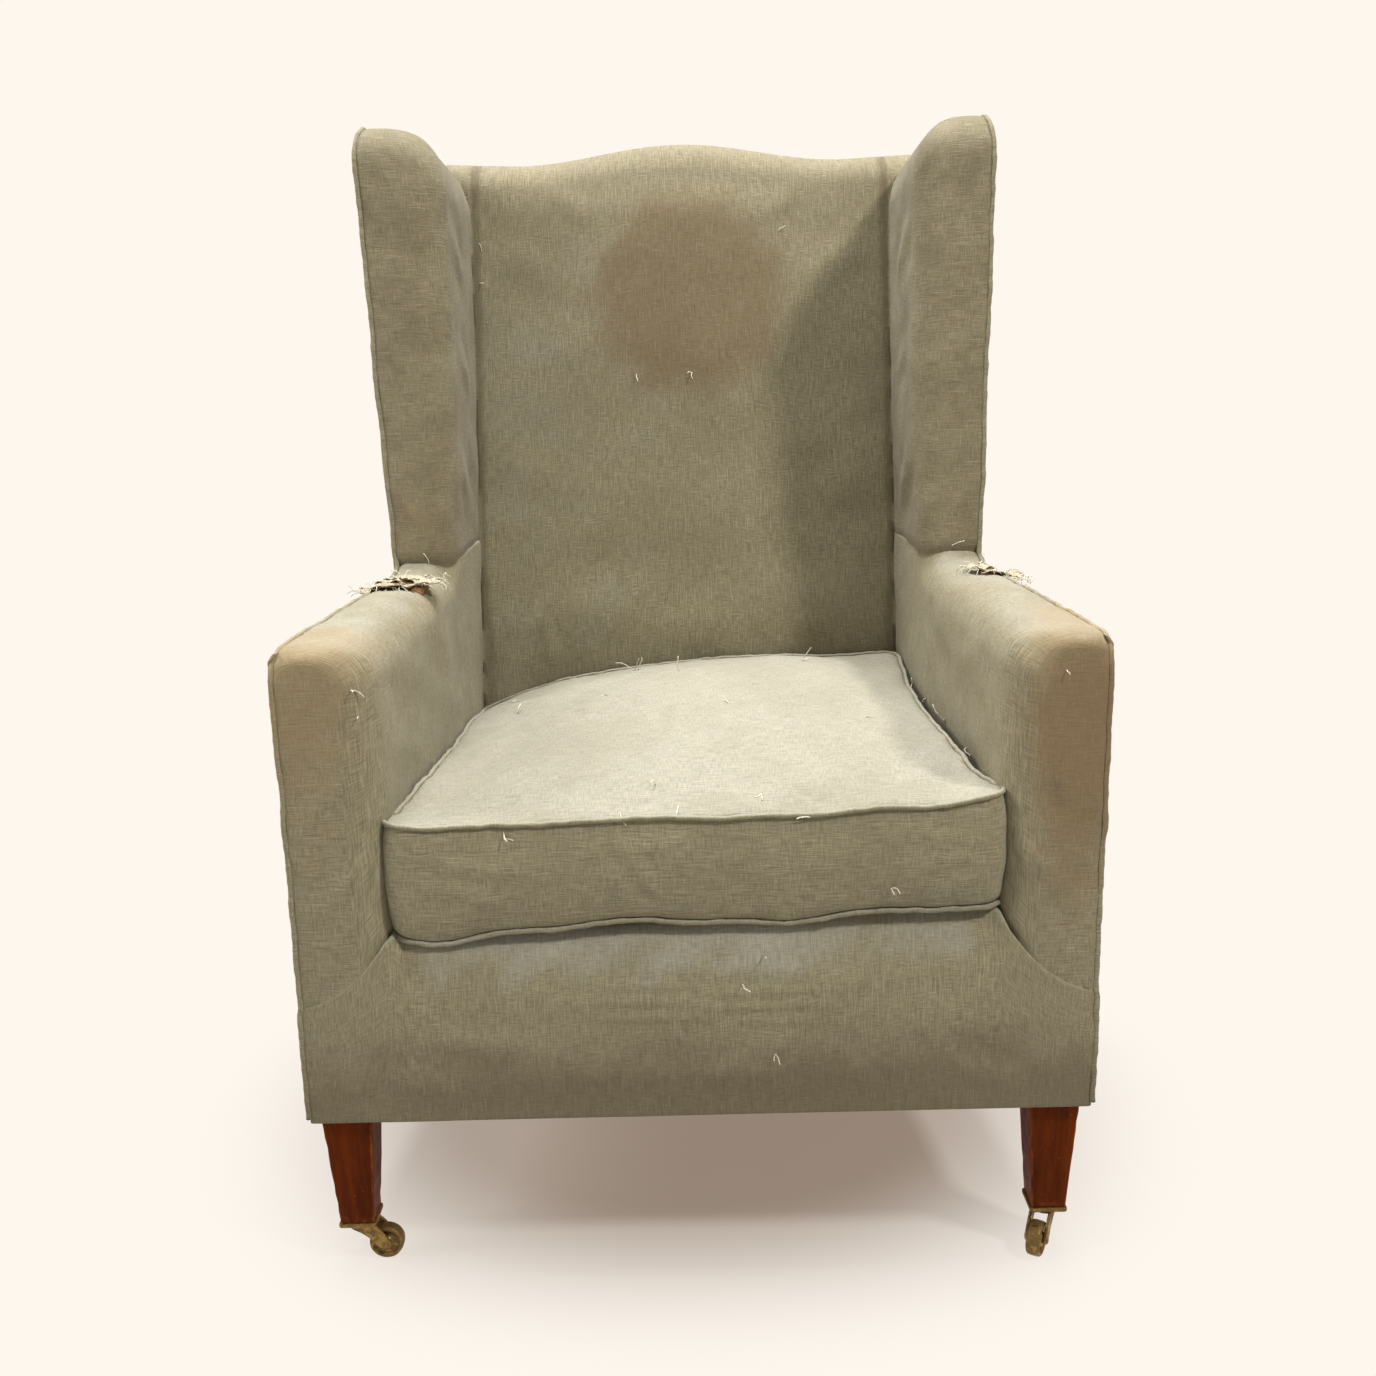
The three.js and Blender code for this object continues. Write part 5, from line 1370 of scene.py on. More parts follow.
# ------------------------------------------------------------------ back
def back_folds(points, normals):
    """The inside back's swell and slack: hollows where it has sunk and soft pulls from its edges."""
    x, z = points[:, 0], points[:, 2]
    facing = smooth(-0.35, -0.9, normals[:, 1])
    swell = sizes().back_crown * (1 - np.clip(np.abs(x) / (258 * MM), 0, 1) ** 2.6)
    swell = swell * smooth(440 * MM, 560 * MM, z) * smooth(1120 * MM, 1040 * MM, z)
    move = 1.0 * MM * ripple(points, 190 * MM, 91) + 0.35 * MM * ripple(points, 60 * MM, 92)
    lines = ((-230, 1000, -120, 960, 20, 1.2), (230, 1010, 140, 950, 20, 1.1),
             (-245, 760, -150, 720, 22, 1.2), (240, 740, 160, 690, 22, 1.1), (-180, 560, -60, 585, 24, 1.4),
             (60, 600, 200, 560, 24, 1.2), (-160, 1075, -110, 1040, 12, 1.4),
             (150, 1075, 110, 1040, 12, 1.2), (-175, 500, -175, 545, 9, 1.6))
    move = with_folds(move, points, lines, lambda x0, z0: (x0 * MM, FRONT + back_face(z0 * MM), z0 * MM))
    return facing * (swell + move)


def build_inside_back():
    """The inside back: its raked section carried across, with the serpentine crest as its top."""
    narrow = inner(BACK_DEPTH) + 1 * MM
    half = BACK_EDGE
    inner_stations = np.linspace(-narrow, narrow, 84)
    outer_stations = np.array([narrow + 0.5 * MM, narrow + 12 * MM, narrow + 24 * MM, half - 8 * MM,
                               half - 3 * MM, half - 0.8 * MM, half])
    stations = np.concatenate([-outer_stations[::-1], inner_stations, outer_stations])
    end = round_over(half - np.abs(stations), 8 * MM, 6 * MM)
    top = crest_height(stations) - end
    wide = np.abs(stations) > narrow
    foot = np.where(wide, 1046 * MM, 338 * MM)
    zero = np.zeros_like(stations)
    pad = 56 * MM
    corners = np.stack([
        np.stack([zero, foot], -1), np.stack([zero, top], -1), np.stack([zero + BACK_THICK, top], -1),
        np.stack([zero + BACK_THICK, top - 24 * MM], -1), np.stack([zero + pad, top - 26 * MM], -1),
        np.stack([zero + pad, foot + 2 * MM], -1)], 1)
    radii = np.tile(np.array([6, 34, 11, 2, 2, 4]) * MM, (len(stations), 1))
    loops = rounded_loops(corners, radii, 9, (92, 5, 2, 3, 20, 2))
    s, z = loops[..., 0], loops[..., 1]
    depth = back_face(z) + s
    x = np.repeat(stations[:, None], loops.shape[1], 1)
    obj = skin("inside_back", np.stack([x, FRONT + depth, z], -1), cap_rings=2)
    push(obj, back_folds)
    weather(obj)
    settle(obj, ["inside_back_pad"], linen_material())


def build_outside_back():
    """The outside back: one panel from rail to crest, its edges turned in over the side covers.

    Both faces move together by a slack that is greatest midway between the posts.
    """
    stations = eased(-OUTSIDE_BACK_HALF, OUTSIDE_BACK_HALF, 5 * MM, 5 * MM, 72, 0.08)
    end = round_over(OUTSIDE_BACK_HALF - np.abs(stations), 5 * MM, 2.2 * MM)
    top = crest_height(stations) - 15 * MM
    rows = np.concatenate([[0.0], eased(0.0, 1.0, 0.008, 0.008, 96, 0.04), [1.0]])
    z = BOTTOM + (top[:, None] - BOTTOM) * rows[None, :]
    edge = np.minimum(z - BOTTOM, top[:, None] - z)
    roll = np.maximum(round_over(edge, 4 * MM, 2.2 * MM), end[:, None])
    heights = np.concatenate([z, z[:, ::-1]], 1)
    across = np.repeat(stations[:, None], heights.shape[1], 1)
    depth = outside_back_depth(heights) + np.concatenate([COVER_THICK - roll, np.full_like(z, -0.4 * MM)], 1)
    grid = np.stack([across, 0 * across, heights], -1)
    loose = smooth(285 * MM, 200 * MM, np.abs(across)) * smooth(BOTTOM + 10 * MM, BOTTOM + 90 * MM, heights)
    loose = loose * smooth(1050 * MM, 960 * MM, heights)
    sunk = bump_at(grid, (0.0, 0.0, 720 * MM), (170 * MM, 1.0, 240 * MM))
    grid[..., 1] = FRONT + depth + loose * (2.0 * MM * ripple(grid, 190 * MM, 95) - 6 * MM * sunk)
    obj = skin("outside_back_cover", grid, joined=True)
    weather(obj, 0.1)
    settle(obj, ["outside_back"], linen_material())


def build_dust_cover():
    """Hessian under the seat: a thin sheet from front to back that sags by 9 mm between the rails."""
    depths = np.linspace(57 * MM, 541 * MM, 40)
    half = np.interp(depths, [57 * MM, 541 * MM], [299 * MM, 262 * MM])
    share = np.linspace(-1.0, 1.0, 48)
    x = half[:, None] * share[None, :]
    d = np.repeat(depths[:, None], 48, 1)
    level = high("dust_cover")[2] - 0.3 * MM
    sag = 9 * MM * (1 - share[None, :] ** 2) * (1 - ((d - 300 * MM) / (245 * MM)) ** 2)
    uneven = 0.8 * MM * ripple(np.stack([x, d, 0 * d], -1), 50 * MM, 97)
    under = np.stack([x, FRONT + d, level - 1.2 * MM - sag + uneven], -1)
    over = under + np.array([0, 0, 1.1 * MM])
    obj = skin("dust_cover_sheet", np.concatenate([under, over[:, ::-1]], 1), cap_rings=1)
    settle(obj, ["dust_cover"], plain_cloth_material("Hessian", colours().jute, 420.0, True))


# ------------------------------------------------------------------ legs
def square_post(name, levels):
    """A four-sided post through levels (z, centre x, centre y, side x, side y) with rounded arrises."""
    levels = np.asarray(levels, float)
    z = np.concatenate([np.linspace(a, b, 12)[:-1] for a, b in zip(levels[:-1, 0], levels[1:, 0])]
                       + [levels[-1:, 0]])
    rest = np.stack([np.interp(z, levels[:, 0], levels[:, k]) for k in range(1, 5)], -1)
    cx, cy, half_x, half_y = rest[:, 0], rest[:, 1], rest[:, 2] / 2, rest[:, 3] / 2
    corners = np.stack([np.stack([cx + sx * half_x, cy + sy * half_y], -1) for sx, sy in CORNERS], 1)
    loops = rounded_loops(corners, np.full(corners.shape[:2], ARRIS), 6, (6, 6, 6, 6))
    grid = np.concatenate([loops, np.repeat(z[:, None, None], loops.shape[1], 1)], -1)
    obj = skin(name, grid, cap_rings=4)
    points = points_of(obj)
    middle = np.stack([np.interp(points[:, 2], z, cx), np.interp(points[:, 2], z, cy)], -1)
    across = np.abs(points[:, :2] - middle) / np.stack([np.interp(points[:, 2], z, half_x),
                                                       np.interp(points[:, 2], z, half_y)], -1)
    arris = smooth(0.86, 0.99, across.min(1))
    ends = smooth(9 * MM, 1 * MM, points[:, 2] - z[0])
    paint(obj, "edge", 0.75 * arris + 0.45 * ends)
    push(obj, lambda p, n: (0.35 * MM * ripple(p, 30 * MM, 101)
                            - 0.6 * MM * smooth(0.5, 0.8, ripple(p, 14 * MM, 103))))
    return obj


def build_front_leg(hand):
    """A square tapered front leg, from the castor's plate up to the top of its frame node."""
    node_low, node_high = low(hand + "_front_leg"), high(hand + "_front_leg")
    cx, cy = 0.5 * (node_low[0] + node_high[0]), 0.5 * (node_low[1] + node_high[1])
    wide = node_high[0] - node_low[0]
    narrow = 33.5 * MM
    obj = square_post(hand + "_leg", [
        (LEG_FOOT, cx, cy, narrow - 1.5 * MM, narrow - 1.5 * MM),
        (LEG_FOOT + 2 * MM, cx, cy, narrow, narrow),
        (BOTTOM, cx, cy, wide, wide), (node_high[2], cx, cy, wide, wide)])
    settle(obj, [hand + "_front_leg"], mahogany())


def mahogany():
    paint_box = colours()
    return wood_material("Varnished mahogany", paint_box.mahogany, paint_box.mahogany_pale, 0.34,
                         (1.0, 1.0, 0.06), 0.04)


def build_back_leg(hand):
    """A back post: its raked side outline with rounded arrises; the foot sweeps backwards."""
    node_low, node_high = low(hand + "_back_post"), high(hand + "_back_post")
    cx, wide = 0.5 * (node_low[0] + node_high[0]), node_high[0] - node_low[0]
    front_knee, deep = 546 * MM, 45 * MM
    z = np.concatenate([np.linspace(0.0, 190 * MM, 40), np.linspace(200 * MM, node_high[2], 60)])
    sweep = np.clip(1 - z / (190 * MM), 0.0, 1.0)
    front = front_knee + (622 * MM - front_knee) * sweep ** 1.7 + BACK_RAKE * np.maximum(z - KNEE, 0.0)
    back = front + deep + (39 * MM - deep) * sweep - 3 * MM * smooth(KNEE, KNEE + 60 * MM, z)
    levels = np.stack([z, cx + 0 * z, FRONT + 0.5 * (front + back), wide - 2 * MM * sweep, back - front], -1)
    corners = np.stack([np.stack([levels[:, 1] + sx * levels[:, 3] / 2,
                                  levels[:, 2] + sy * levels[:, 4] / 2], -1) for sx, sy in CORNERS], 1)
    loops = rounded_loops(corners, np.full(corners.shape[:2], ARRIS), 6, (4, 5, 4, 5))
    grid = np.concatenate([loops, np.repeat(z[:, None, None], loops.shape[1], 1)], -1)
    obj = skin(hand + "_rear_post", grid, cap_rings=4)
    points = points_of(obj)
    paint(obj, "edge", 0.5 * smooth(wide * 0.42, wide * 0.5, np.abs(points[:, 0] - cx)) * smooth(
        0.160, 0.1, points[:, 2]) + 0.7 * smooth(10 * MM, 0.0, points[:, 2]))
    settle(obj, [hand + "_back_post"], mahogany())


# ------------------------------------------------------------------ castors
def lathe(name, profile, origin, axis, around=40):
    """A solid of revolution: profile (radius, along) turned round an axis through origin."""
    axis = np.asarray(axis, float) / np.linalg.norm(axis)
    side = np.cross(axis, [0.0, 0.0, 1.0] if abs(axis[2]) < 0.9 else [1.0, 0.0, 0.0])
    side /= np.linalg.norm(side)
    other = np.cross(axis, side)
    angle = np.linspace(0, 2 * np.pi, around, endpoint=False)
    ring = np.cos(angle)[:, None] * side + np.sin(angle)[:, None] * other
    profile = np.asarray(profile, float)
    radius, along = profile[:, 0][:, None, None], profile[:, 1][:, None, None]
    grid = np.asarray(origin) + along * axis + radius * ring[None]
    return skin(name, grid, cap_rings=2)


def slab_between(name, outline, start, end, along, basis, radius=0.7 * MM):
    """A plate: a rounded outline in a plane, carried from start to end, its edges rounded over."""
    stations = np.array([start, start + radius * 0.3, start + radius, end - radius, end - radius * 0.3, end])
    inset = np.array([radius, radius * 0.3, 0.0, 0.0, radius * 0.3, radius])
    centre = outline.mean(0)
    away = outline - centre
    away /= np.linalg.norm(away, axis=1, keepdims=True)
    flat = outline[None] - inset[:, None, None] * away[None]
    origin, first, second = (np.asarray(vector) for vector in basis)
    grid = (origin + flat[..., :1] * first + flat[..., 1:] * second
            + stations[:, None, None] * np.asarray(along))
    return skin(name, grid, cap_rings=3)


def brass():
    return metal_material("Old brass", colours().brass, colours().tarnish, 0.3)


def paint_rubbed(obj, height):
    """Marks brass as rubbed in patches, and more so below a height."""
    points = points_of(obj)
    patches = 0.5 * smooth(0.3, 0.8, ripple(points, 12 * MM, 111))
    paint(obj, "edge", 0.25 + patches + 0.3 * (points[:, 2] < height))


def build_castor(hand, side, turn):
    """One castor: screwed plate, cupped horn with two cheeks and an axle pin, and a grooved brass wheel."""
    swivel = np.array([side * LEG_X, FRONT + LEG_DEPTH, 0.0])
    ahead = np.array([math.cos(turn), math.sin(turn), 0.0])
    across = np.array([-math.sin(turn), math.cos(turn), 0.0])
    up = np.array([0.0, 0.0, 1.0])
    trail, horn_top = 24 * MM, 42.4 * MM
    plate_low, plate_high = low(hand + "_castor_plate"), high(hand + "_castor_plate")
    half = 0.5 * (plate_high[0] - plate_low[0])
    corner = rounded_loops(np.array([[[-half, -half], [half, -half], [half, half], [-half, half]]]),
                           np.full((1, 4), 3.2 * MM), 6, (5, 5, 5, 5))[0]
    plate = slab_between(hand + "_plate", corner, plate_high[2] - 4 * MM, plate_high[2], up,
                         (swivel, [1, 0, 0], [0, 1, 0]), 0.9 * MM)
    parts = [plate]
    for sx, sy in CORNERS:
        spot = swivel + np.array([sx * (half - 5.5 * MM), sy * (half - 5.5 * MM), plate_high[2] - 4.6 * MM])
        head = [(0.5 * MM, -0.5 * MM), (2.2 * MM, -0.2 * MM), (2.8 * MM, 0.6 * MM), (2.8 * MM, 1.4 * MM)]
        parts.append(lathe(hand + "_screw", head, spot, up, 16))
    plate = join(hand + "_castor_top", parts)
    paint_rubbed(plate, 0.0)
    settle(plate, [hand + "_castor_plate"], brass())

    disc = lathe(hand + "_disc", [(4 * MM, horn_top - 4.9 * MM), (12 * MM, horn_top - 4.9 * MM),
                                  (13.6 * MM, horn_top - 4.2 * MM), (14.5 * MM, horn_top - 2.4 * MM),
                                  (14.5 * MM, horn_top - 1.0 * MM), (13.8 * MM, horn_top),
                                  (3.5 * MM, horn_top)],
                 swivel, up, 44)
    parts = [disc]
    outline = np.array([[[-10, 42.0], [-9, 37], [6, 29], [19, 13.5],
                         [29, 13.5], [30.5, 19], [22, 33], [12, 42.0]]])
    cheek = rounded_loops(outline * MM, np.array([[1, 5, 9, 4, 4, 3, 9, 1]]) * MM, 6,
                          (2, 4, 5, 2, 2, 5, 4, 6))[0]
    inside, thick = 7.7 * MM, 2.8 * MM
    for start in (inside, -inside - thick):
        parts.append(slab_between(hand + "_cheek", cheek, start, start + thick, across,
                                  (swivel, ahead, up), 0.9 * MM))
    axle = swivel + trail * ahead + WHEEL_RADIUS * up
    reach = inside + thick
    parts.append(lathe(hand + "_pin", [(0.8 * MM, -reach - 1.3 * MM), (2.6 * MM, -reach - 1.0 * MM),
                                       (3.3 * MM, -reach - 0.2 * MM), (2.3 * MM, -reach + 0.4 * MM),
                                       (2.3 * MM, reach - 0.4 * MM), (3.3 * MM, reach + 0.2 * MM),
                                       (2.6 * MM, reach + 1.0 * MM), (0.8 * MM, reach + 1.3 * MM)],
                       axle, across, 24))
    horn = join(hand + "_castor_fork", parts)
    paint_rubbed(horn, 22 * MM)
    settle(horn, [hand + "_castor_horn"], brass(), hand + "_horn")

    w, r = 7 * MM, WHEEL_RADIUS
    profile = [(2.9 * MM, -w), (5.4 * MM, -w), (6.6 * MM, -w + 0.8 * MM), (7.6 * MM, -w + 3.0 * MM),
               (r - 5.6 * MM, -w + 3.0 * MM), (r - 4.2 * MM, -w + 1.2 * MM), (r - 3.0 * MM, -w + 0.2 * MM),
               (r - 1.6 * MM, -w + 0.4 * MM), (r - 0.5 * MM, -w + 1.6 * MM), (r - 0.05 * MM, -w * 0.4),
               (r, 0.0)]
    profile = profile + [(radius, -along) for radius, along in profile[-2::-1]]
    wheel = lathe(hand + "_wheel_brass", profile, axle, across, 56)
    paint_rubbed(wheel, 0.0)
    settle(wheel, [hand + "_castor_wheel"], brass(), hand + "_wheel")


# ------------------------------------------------------------------ tears and loose threads
def thread(start, way, length, seed, curl, drop):
    """A loose thread: a path whose direction wanders at random and sinks under its own weight."""
    draw = np.random.default_rng(seed)
    count = max(int(length / (1.6 * MM)), 6)
    step = length / count
    turns = np.cumsum(draw.normal(scale=0.23 * curl, size=(count, 3)), axis=0)
    heading = np.asarray(way, float) + turns
    heading[:, 2] -= drop * np.linspace(0.0, 1.0, count)
    heading /= np.linalg.norm(heading, axis=1, keepdims=True)
    return np.concatenate([[start], np.asarray(start) + np.cumsum(heading * step, axis=0)])


def rest_on(tree, path, clearance):
    """Lifts every point of a thread that would sink into the cloth."""
    out = []
    for point in path:
        spot, normal, _, distance = tree.find_nearest(Vector(point))
        inside = (Vector(point) - spot).dot(normal) < clearance
        lifted = np.asarray(spot) + clearance * np.asarray(normal)
        out.append(lifted if inside and distance < 30 * MM else point)
    return np.asarray(out)


def build_threads(surfaces):
    """Short cream threads and tufts on the cushion, its piping, the back, the border and the arms."""
    spots = ((-215, 438, 478, 44, 3.2), (-150, 470, 486, 12, 1.5), (-118, 476, 492, 14, 1.6),
             (-67, 437, 500, 22, 1.6), (-62, 437, 500, 14, 1.2), (-13, 394, 508, 16, 1.4),
             (135, 430, 510, 18, 1.6), (-36, 54, 482, 13, 1.2), (-14, 18, 470, 12, 1.0),
             (62, 30, 476, 15, 1.4), (276, 60, 474, 16, 1.6), (275, 150, 478, 20, 1.8),
             (272, 240, 482, 22, 2.0), (268, 330, 486, 20, 1.8), (262, 410, 492, 18, 1.6),
             (-174, -12, 454, 14, 1.6), (-62, -12, 458, 12, 1.4), (108, -12, 465, 16, 1.6),
             (178, -16, 385, 12, 1.4), (62, -4, 327, 13, 1.2), (42, -4, 299, 18, 1.4),
             (71, -6, 230, 10, 1.0), (120, 586, 1020, 12, 1.6), (-58, 556, 853, 11, 1.4),
             (11, 556, 853, 10, 1.2), (-250, 574, 969, 14, 1.8), (-250, 582, 1017, 12, 1.6),
             (-300, 2, 585, 12, 1.6), (-296, 4, 560, 7, 1.4), (330, -3, 590, 6, 0.8),
             (-100, 320, 505, 14, 1.2), (40, 250, 512, 10, 1.2), (180, 200, 500, 12, 1.3),
             (-200, 330, 485, 12, 1.2), (-300, 360, 660, 12, 1.2), (300, 362, 655, 14, 1.4))
    made = []
    for i, (x, d, z, length, curl) in enumerate(spots):
        draw = np.random.default_rng(200 + i)
        start = np.array([x, 0, z]) * MM + np.array([0, FRONT + d * MM, 0])
        tree = min(surfaces, key=lambda t: t.find_nearest(Vector(start))[3])
        spot, normal, _, _ = tree.find_nearest(Vector(start))
        normal = np.asarray(normal)
        base = np.asarray(spot) - 0.4 * MM * normal
        for k in range(2 if i % 3 == 0 else 1):
            way = normal * 0.7 + draw.normal(scale=0.6, size=3)
            long = 1.2 * length * MM * (1 - 0.3 * k)
            path = rest_on(tree, thread(base, way, long, 300 + 7 * i + k, curl, 0.8), 0.35 * MM)
            made.append(tube("thread_%d_%d" % (i, k), path, 0.55 * MM, 5))
    obj = join("loose_threads", made)
    settle(obj, [], plain_cloth_material("Cream thread", colours().thread, 900.0))


def torn_scrap(name, side, centre, half_x, half_d, seed, bunch):
    """A frayed scrap of lining laid on the arm: a grid with ragged edges, bunched into soft folds.

    Its height over the arm is bunch times the size of a ripple, and its free edge lifts by bunch r^4 / 2.
    """
    u, v = np.meshgrid(np.linspace(-1, 1, 50), np.linspace(-1, 1, 40), indexing="ij")
    flat = np.stack([u * half_x, v * half_d, 0 * u], -1)
    ragged = 1 + 0.30 * ripple(flat, 24 * MM, seed) + 0.14 * ripple(flat, 7 * MM, seed + 1)
    r = np.hypot(u, v)
    shape = np.minimum(1.0, 1.02 / np.maximum(r, 1e-6)) * (1 + (ragged - 1) * np.clip(r, 0, 1))
    x, depth = centre[0] * MM + flat[..., 0] * shape, centre[1] * MM + flat[..., 1] * shape
    skewed = np.stack([x + 0.6 * depth, depth - 0.5 * x, 0 * x], -1)
    folds = np.abs(ripple(skewed, 26 * MM, seed + 2, squeeze=(1.0, 0.45, 1.0)))
    lift = bunch * folds + 0.5 * bunch * np.clip(r, 0, 1) ** 4 + 1.2 * MM
    grid = np.stack([side * x, FRONT + depth, arm_skin(x, depth) + lift], -1)
    under = grid - np.array([0, 0, 0.8 * MM])
    return skin(name, np.concatenate([grid, under[:, ::-1]], 1), cap_rings=1)


def build_tear(hand, side, surface):
    """A tear on top of the arm: matted stuffing, scraps of lining bunched over it and frayed ends."""
    cx, cd, spread = (310, 288, 1.0) if side < 0 else (335, 296, 0.72)
    u, v = np.meshgrid(np.linspace(-1, 1, 52), np.linspace(-1, 1, 40), indexing="ij")
    x, depth = cx * MM + u * 26 * MM * spread, cd * MM + v * 20 * MM * spread
    flat = np.stack([side * x, FRONT + depth, 0 * x], -1)
    r = np.hypot(u, v) * (1 + 0.12 * ripple(flat, 30 * MM, 121))
    rise = 4.0 * MM * (1 - np.clip(r, 0, 1.4) ** 2) + 1.4 * MM * ripple(flat, 12 * MM, 123)
    grid = flat + np.stack([0 * x, 0 * x, arm_skin(x, depth) + rise], -1)
    under = flat + np.stack([0 * x, 0 * x, arm_skin(x, depth) - 9 * MM], -1)
    stuffing = skin(hand + "_stuffing", np.concatenate([grid, under[:, ::-1]], 1), cap_rings=1)
    settle(stuffing, [], felt_material())
    lining = plain_cloth_material("Torn lining", colours().lining, 1100.0)
    scraps = (((cx + 24 * spread, cd + 8), 20, 24, 131, 4.5), ((cx - 26 * spread, cd), 20, 15, 137, 4.0),
              ((cx + 2, cd - 21 * spread), 28, 10, 141, 3.5), ((cx + 1, cd + 25 * spread), 24, 9, 151, 3.5))
    for i, (centre, half_x, half_d, seed, bunch) in enumerate(scraps):
        half_x, half_d = half_x * spread * MM, half_d * spread * MM
        scrap = torn_scrap("%s_torn_scrap_%d" % (hand, i + 1), side, centre, half_x, half_d,
                           seed + (side > 0), bunch * MM)
        settle(scrap, [], lining)
    made = []
    draw = np.random.default_rng(150 + int(side))
    for i in range(40):
        angle = draw.uniform(0, 2 * np.pi)
        x, depth = (cx + 44 * spread * math.cos(angle)) * MM, (cd + 28 * spread * math.sin(angle)) * MM
        start = np.array([side * x, FRONT + depth, float(arm_skin(x, depth)) + 3 * MM])
        way = np.array([side * math.cos(angle), math.sin(angle), 0.35]) + draw.normal(scale=0.35, size=3)
        path = thread(start, way, draw.uniform(8, 22) * MM, 400 + i, 1.3, 1.6)
        path[:, 0] = side * np.minimum(side * path[:, 0], 371 * MM)
        made.append(tube("fray_%d" % i, rest_on(surface, path, 0.3 * MM), 0.42 * MM, 5))
    fray = join(hand + "_frayed_ends", made)
    settle(fray, [], plain_cloth_material("Cream thread", colours().thread, 900.0))


# ------------------------------------------------------------------ the frame that stays as it is
def finish_frame():
    """Gives every frame node that still shows the material of its stuff."""
    paint_box = colours()
    beech = wood_material("Beech", paint_box.beech, paint_box.beech, 0.6, (0.06, 1.0, 1.0))
    webbing = plain_cloth_material("Jute webbing", paint_box.jute, 500.0)
    hessian = plain_cloth_material("Hessian", paint_box.jute, 420.0, True)
    steel = metal_material("Spring steel", paint_box.steel, paint_box.tarnish, 0.4)
    for name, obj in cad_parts.items():
        chosen = beech
        if "webbing" in name:
            chosen = webbing
        elif name.startswith("spring_"):
            chosen = steel
        elif name in ("seat_deck", "dust_cover"):
            chosen = hessian
        obj.data.materials.clear()
        obj.data.materials.append(chosen)


def build_tacks():
    """A row of tack heads along the front edge of the dust cover."""
    made = []
    level = high("dust_cover")[2] - 1.6 * MM
    for k in range(13):
        x = (-264 + 44 * k) * MM
        made.append(lathe("tack", [(0.6 * MM, -1.2 * MM), (3.2 * MM, -0.7 * MM), (4.4 * MM, 0.4 * MM)],
                          (x, FRONT + 63 * MM, level), (0, 0, 1), 12))
    obj = join("tacks", made)
    paint(obj, "edge", 0.3 + 0 * points_of(obj)[:, 0])
    settle(obj, [], metal_material("Spring steel", colours().steel, colours().tarnish, 0.4))


# ------------------------------------------------------------------ stage
ROOM_LIGHT = 0.22         # how strongly the backdrop lights the chair


def build_stage():
    """Pale floor and backdrop, a broad soft light overhead, a key from the upper right, and the camera."""
    scene = bpy.context.scene
    reach, count = 30.0, 64
    angle = np.linspace(0, 2 * np.pi, count, endpoint=False)
    radii = np.array([0.0001, 0.5, 1.0, 1.8, 3.0, 8.0, reach])
    rings = radii[:, None, None] * np.stack([np.cos(angle), np.sin(angle), 0 * angle], -1)[None]
    index = np.arange(len(radii) * count).reshape(len(radii), count)
    right = np.roll(index, -1, axis=1)
    faces = np.stack([index[:-1], index[1:], right[1:], right[:-1]], -1).reshape(-1, 4)
    floor = new_object("floor", build_mesh("floor", rings.reshape(-1, 3), faces))
    floor.data.materials.append(floor_material())
    world = bpy.data.worlds.new("Backdrop")
    scene.world = world
    world.use_nodes = True
    tree = world.node_tree
    background = tree.nodes["Background"]
    background.inputs["Color"].default_value = rgb(colours().backdrop)
    seen = node(tree, "ShaderNodeLightPath").outputs["Is Camera Ray"]
    tree.links.new(span(tree, seen, 0.0, 1.0, ROOM_LIGHT, 1.0), background.inputs["Strength"])
    lights = (("overhead", (0.0, 0.75, 6.2), (0.0, 0.1, 0.5), 2.8, 560.0, (1.0, 0.985, 0.97)),
              ("key", (3.24, -2.46, 4.94), (0.0, 0.1, 0.6), 0.8, 240.0, (1.0, 0.97, 0.92)),
              ("fill", (-4.6, -0.9, 3.4), (0.0, 0.1, 0.6), 2.4, 190.0, (1.0, 0.98, 0.95)))
    for name, place, aim, size, power, colour in lights:
        data = bpy.data.lights.new(name, "AREA")
        data.shape = "DISK"
        data.size = size
        data.energy = power
        data.color = colour
        lamp = bpy.data.objects.new(name, data)
        scene.collection.objects.link(lamp)
        lamp.matrix_world = (Matrix.Translation(place)
                             @ (Vector(aim) - Vector(place)).to_track_quat("-Z", "Y").to_matrix().to_4x4())
    data = bpy.data.cameras.new("camera")
    data.lens = 34.98
    data.sensor_width = 36.0
    data.clip_start, data.clip_end = 0.05, 80.0
    camera = bpy.data.objects.new("camera", data)
    scene.collection.objects.link(camera)
    tilt = Matrix.Rotation(math.radians(90 - 13), 4, "X")
    roll = Matrix.Rotation(math.radians(-1.3), 4, "Z")
    camera.matrix_world = Matrix.Translation((-3 * MM, FRONT - 1147 * MM, 846 * MM)) @ tilt @ roll
    scene.camera = camera
    scene.view_settings.view_transform = "Standard"
    scene.view_settings.look = "None"


# ------------------------------------------------------------------ operators and panel
def piece(name):
    """The named piece, or a plain error where it hasn't been built yet."""
    obj = bpy.data.objects.get(name)
    if obj is None:
        raise RuntimeError("build " + name + " first")
    return obj


class ARMCHAIR_OT_arms(bpy.types.Operator):
    """Builds both arms"""
    bl_idname = "armchair.arms"
    bl_label = "Arms"

    def execute(self, context):
        for hand, side in SIDES:
            build_arm(hand, side)
        return {"FINISHED"}


class ARMCHAIR_OT_wings(bpy.types.Operator):
    """Builds both wings"""
    bl_idname = "armchair.wings"
    bl_label = "Wings"

    def execute(self, context):
        for hand, side in SIDES:
            build_wing(hand, side)
        return {"FINISHED"}


class ARMCHAIR_OT_outside(bpy.types.Operator):
    """Builds the outside arm, outside wing and outside back covers"""
    bl_idname = "armchair.outside"
    bl_label = "Outside covers"

    def execute(self, context):
        for hand, side in SIDES:
            build_outside(hand, side)
        build_outside_back()
        return {"FINISHED"}


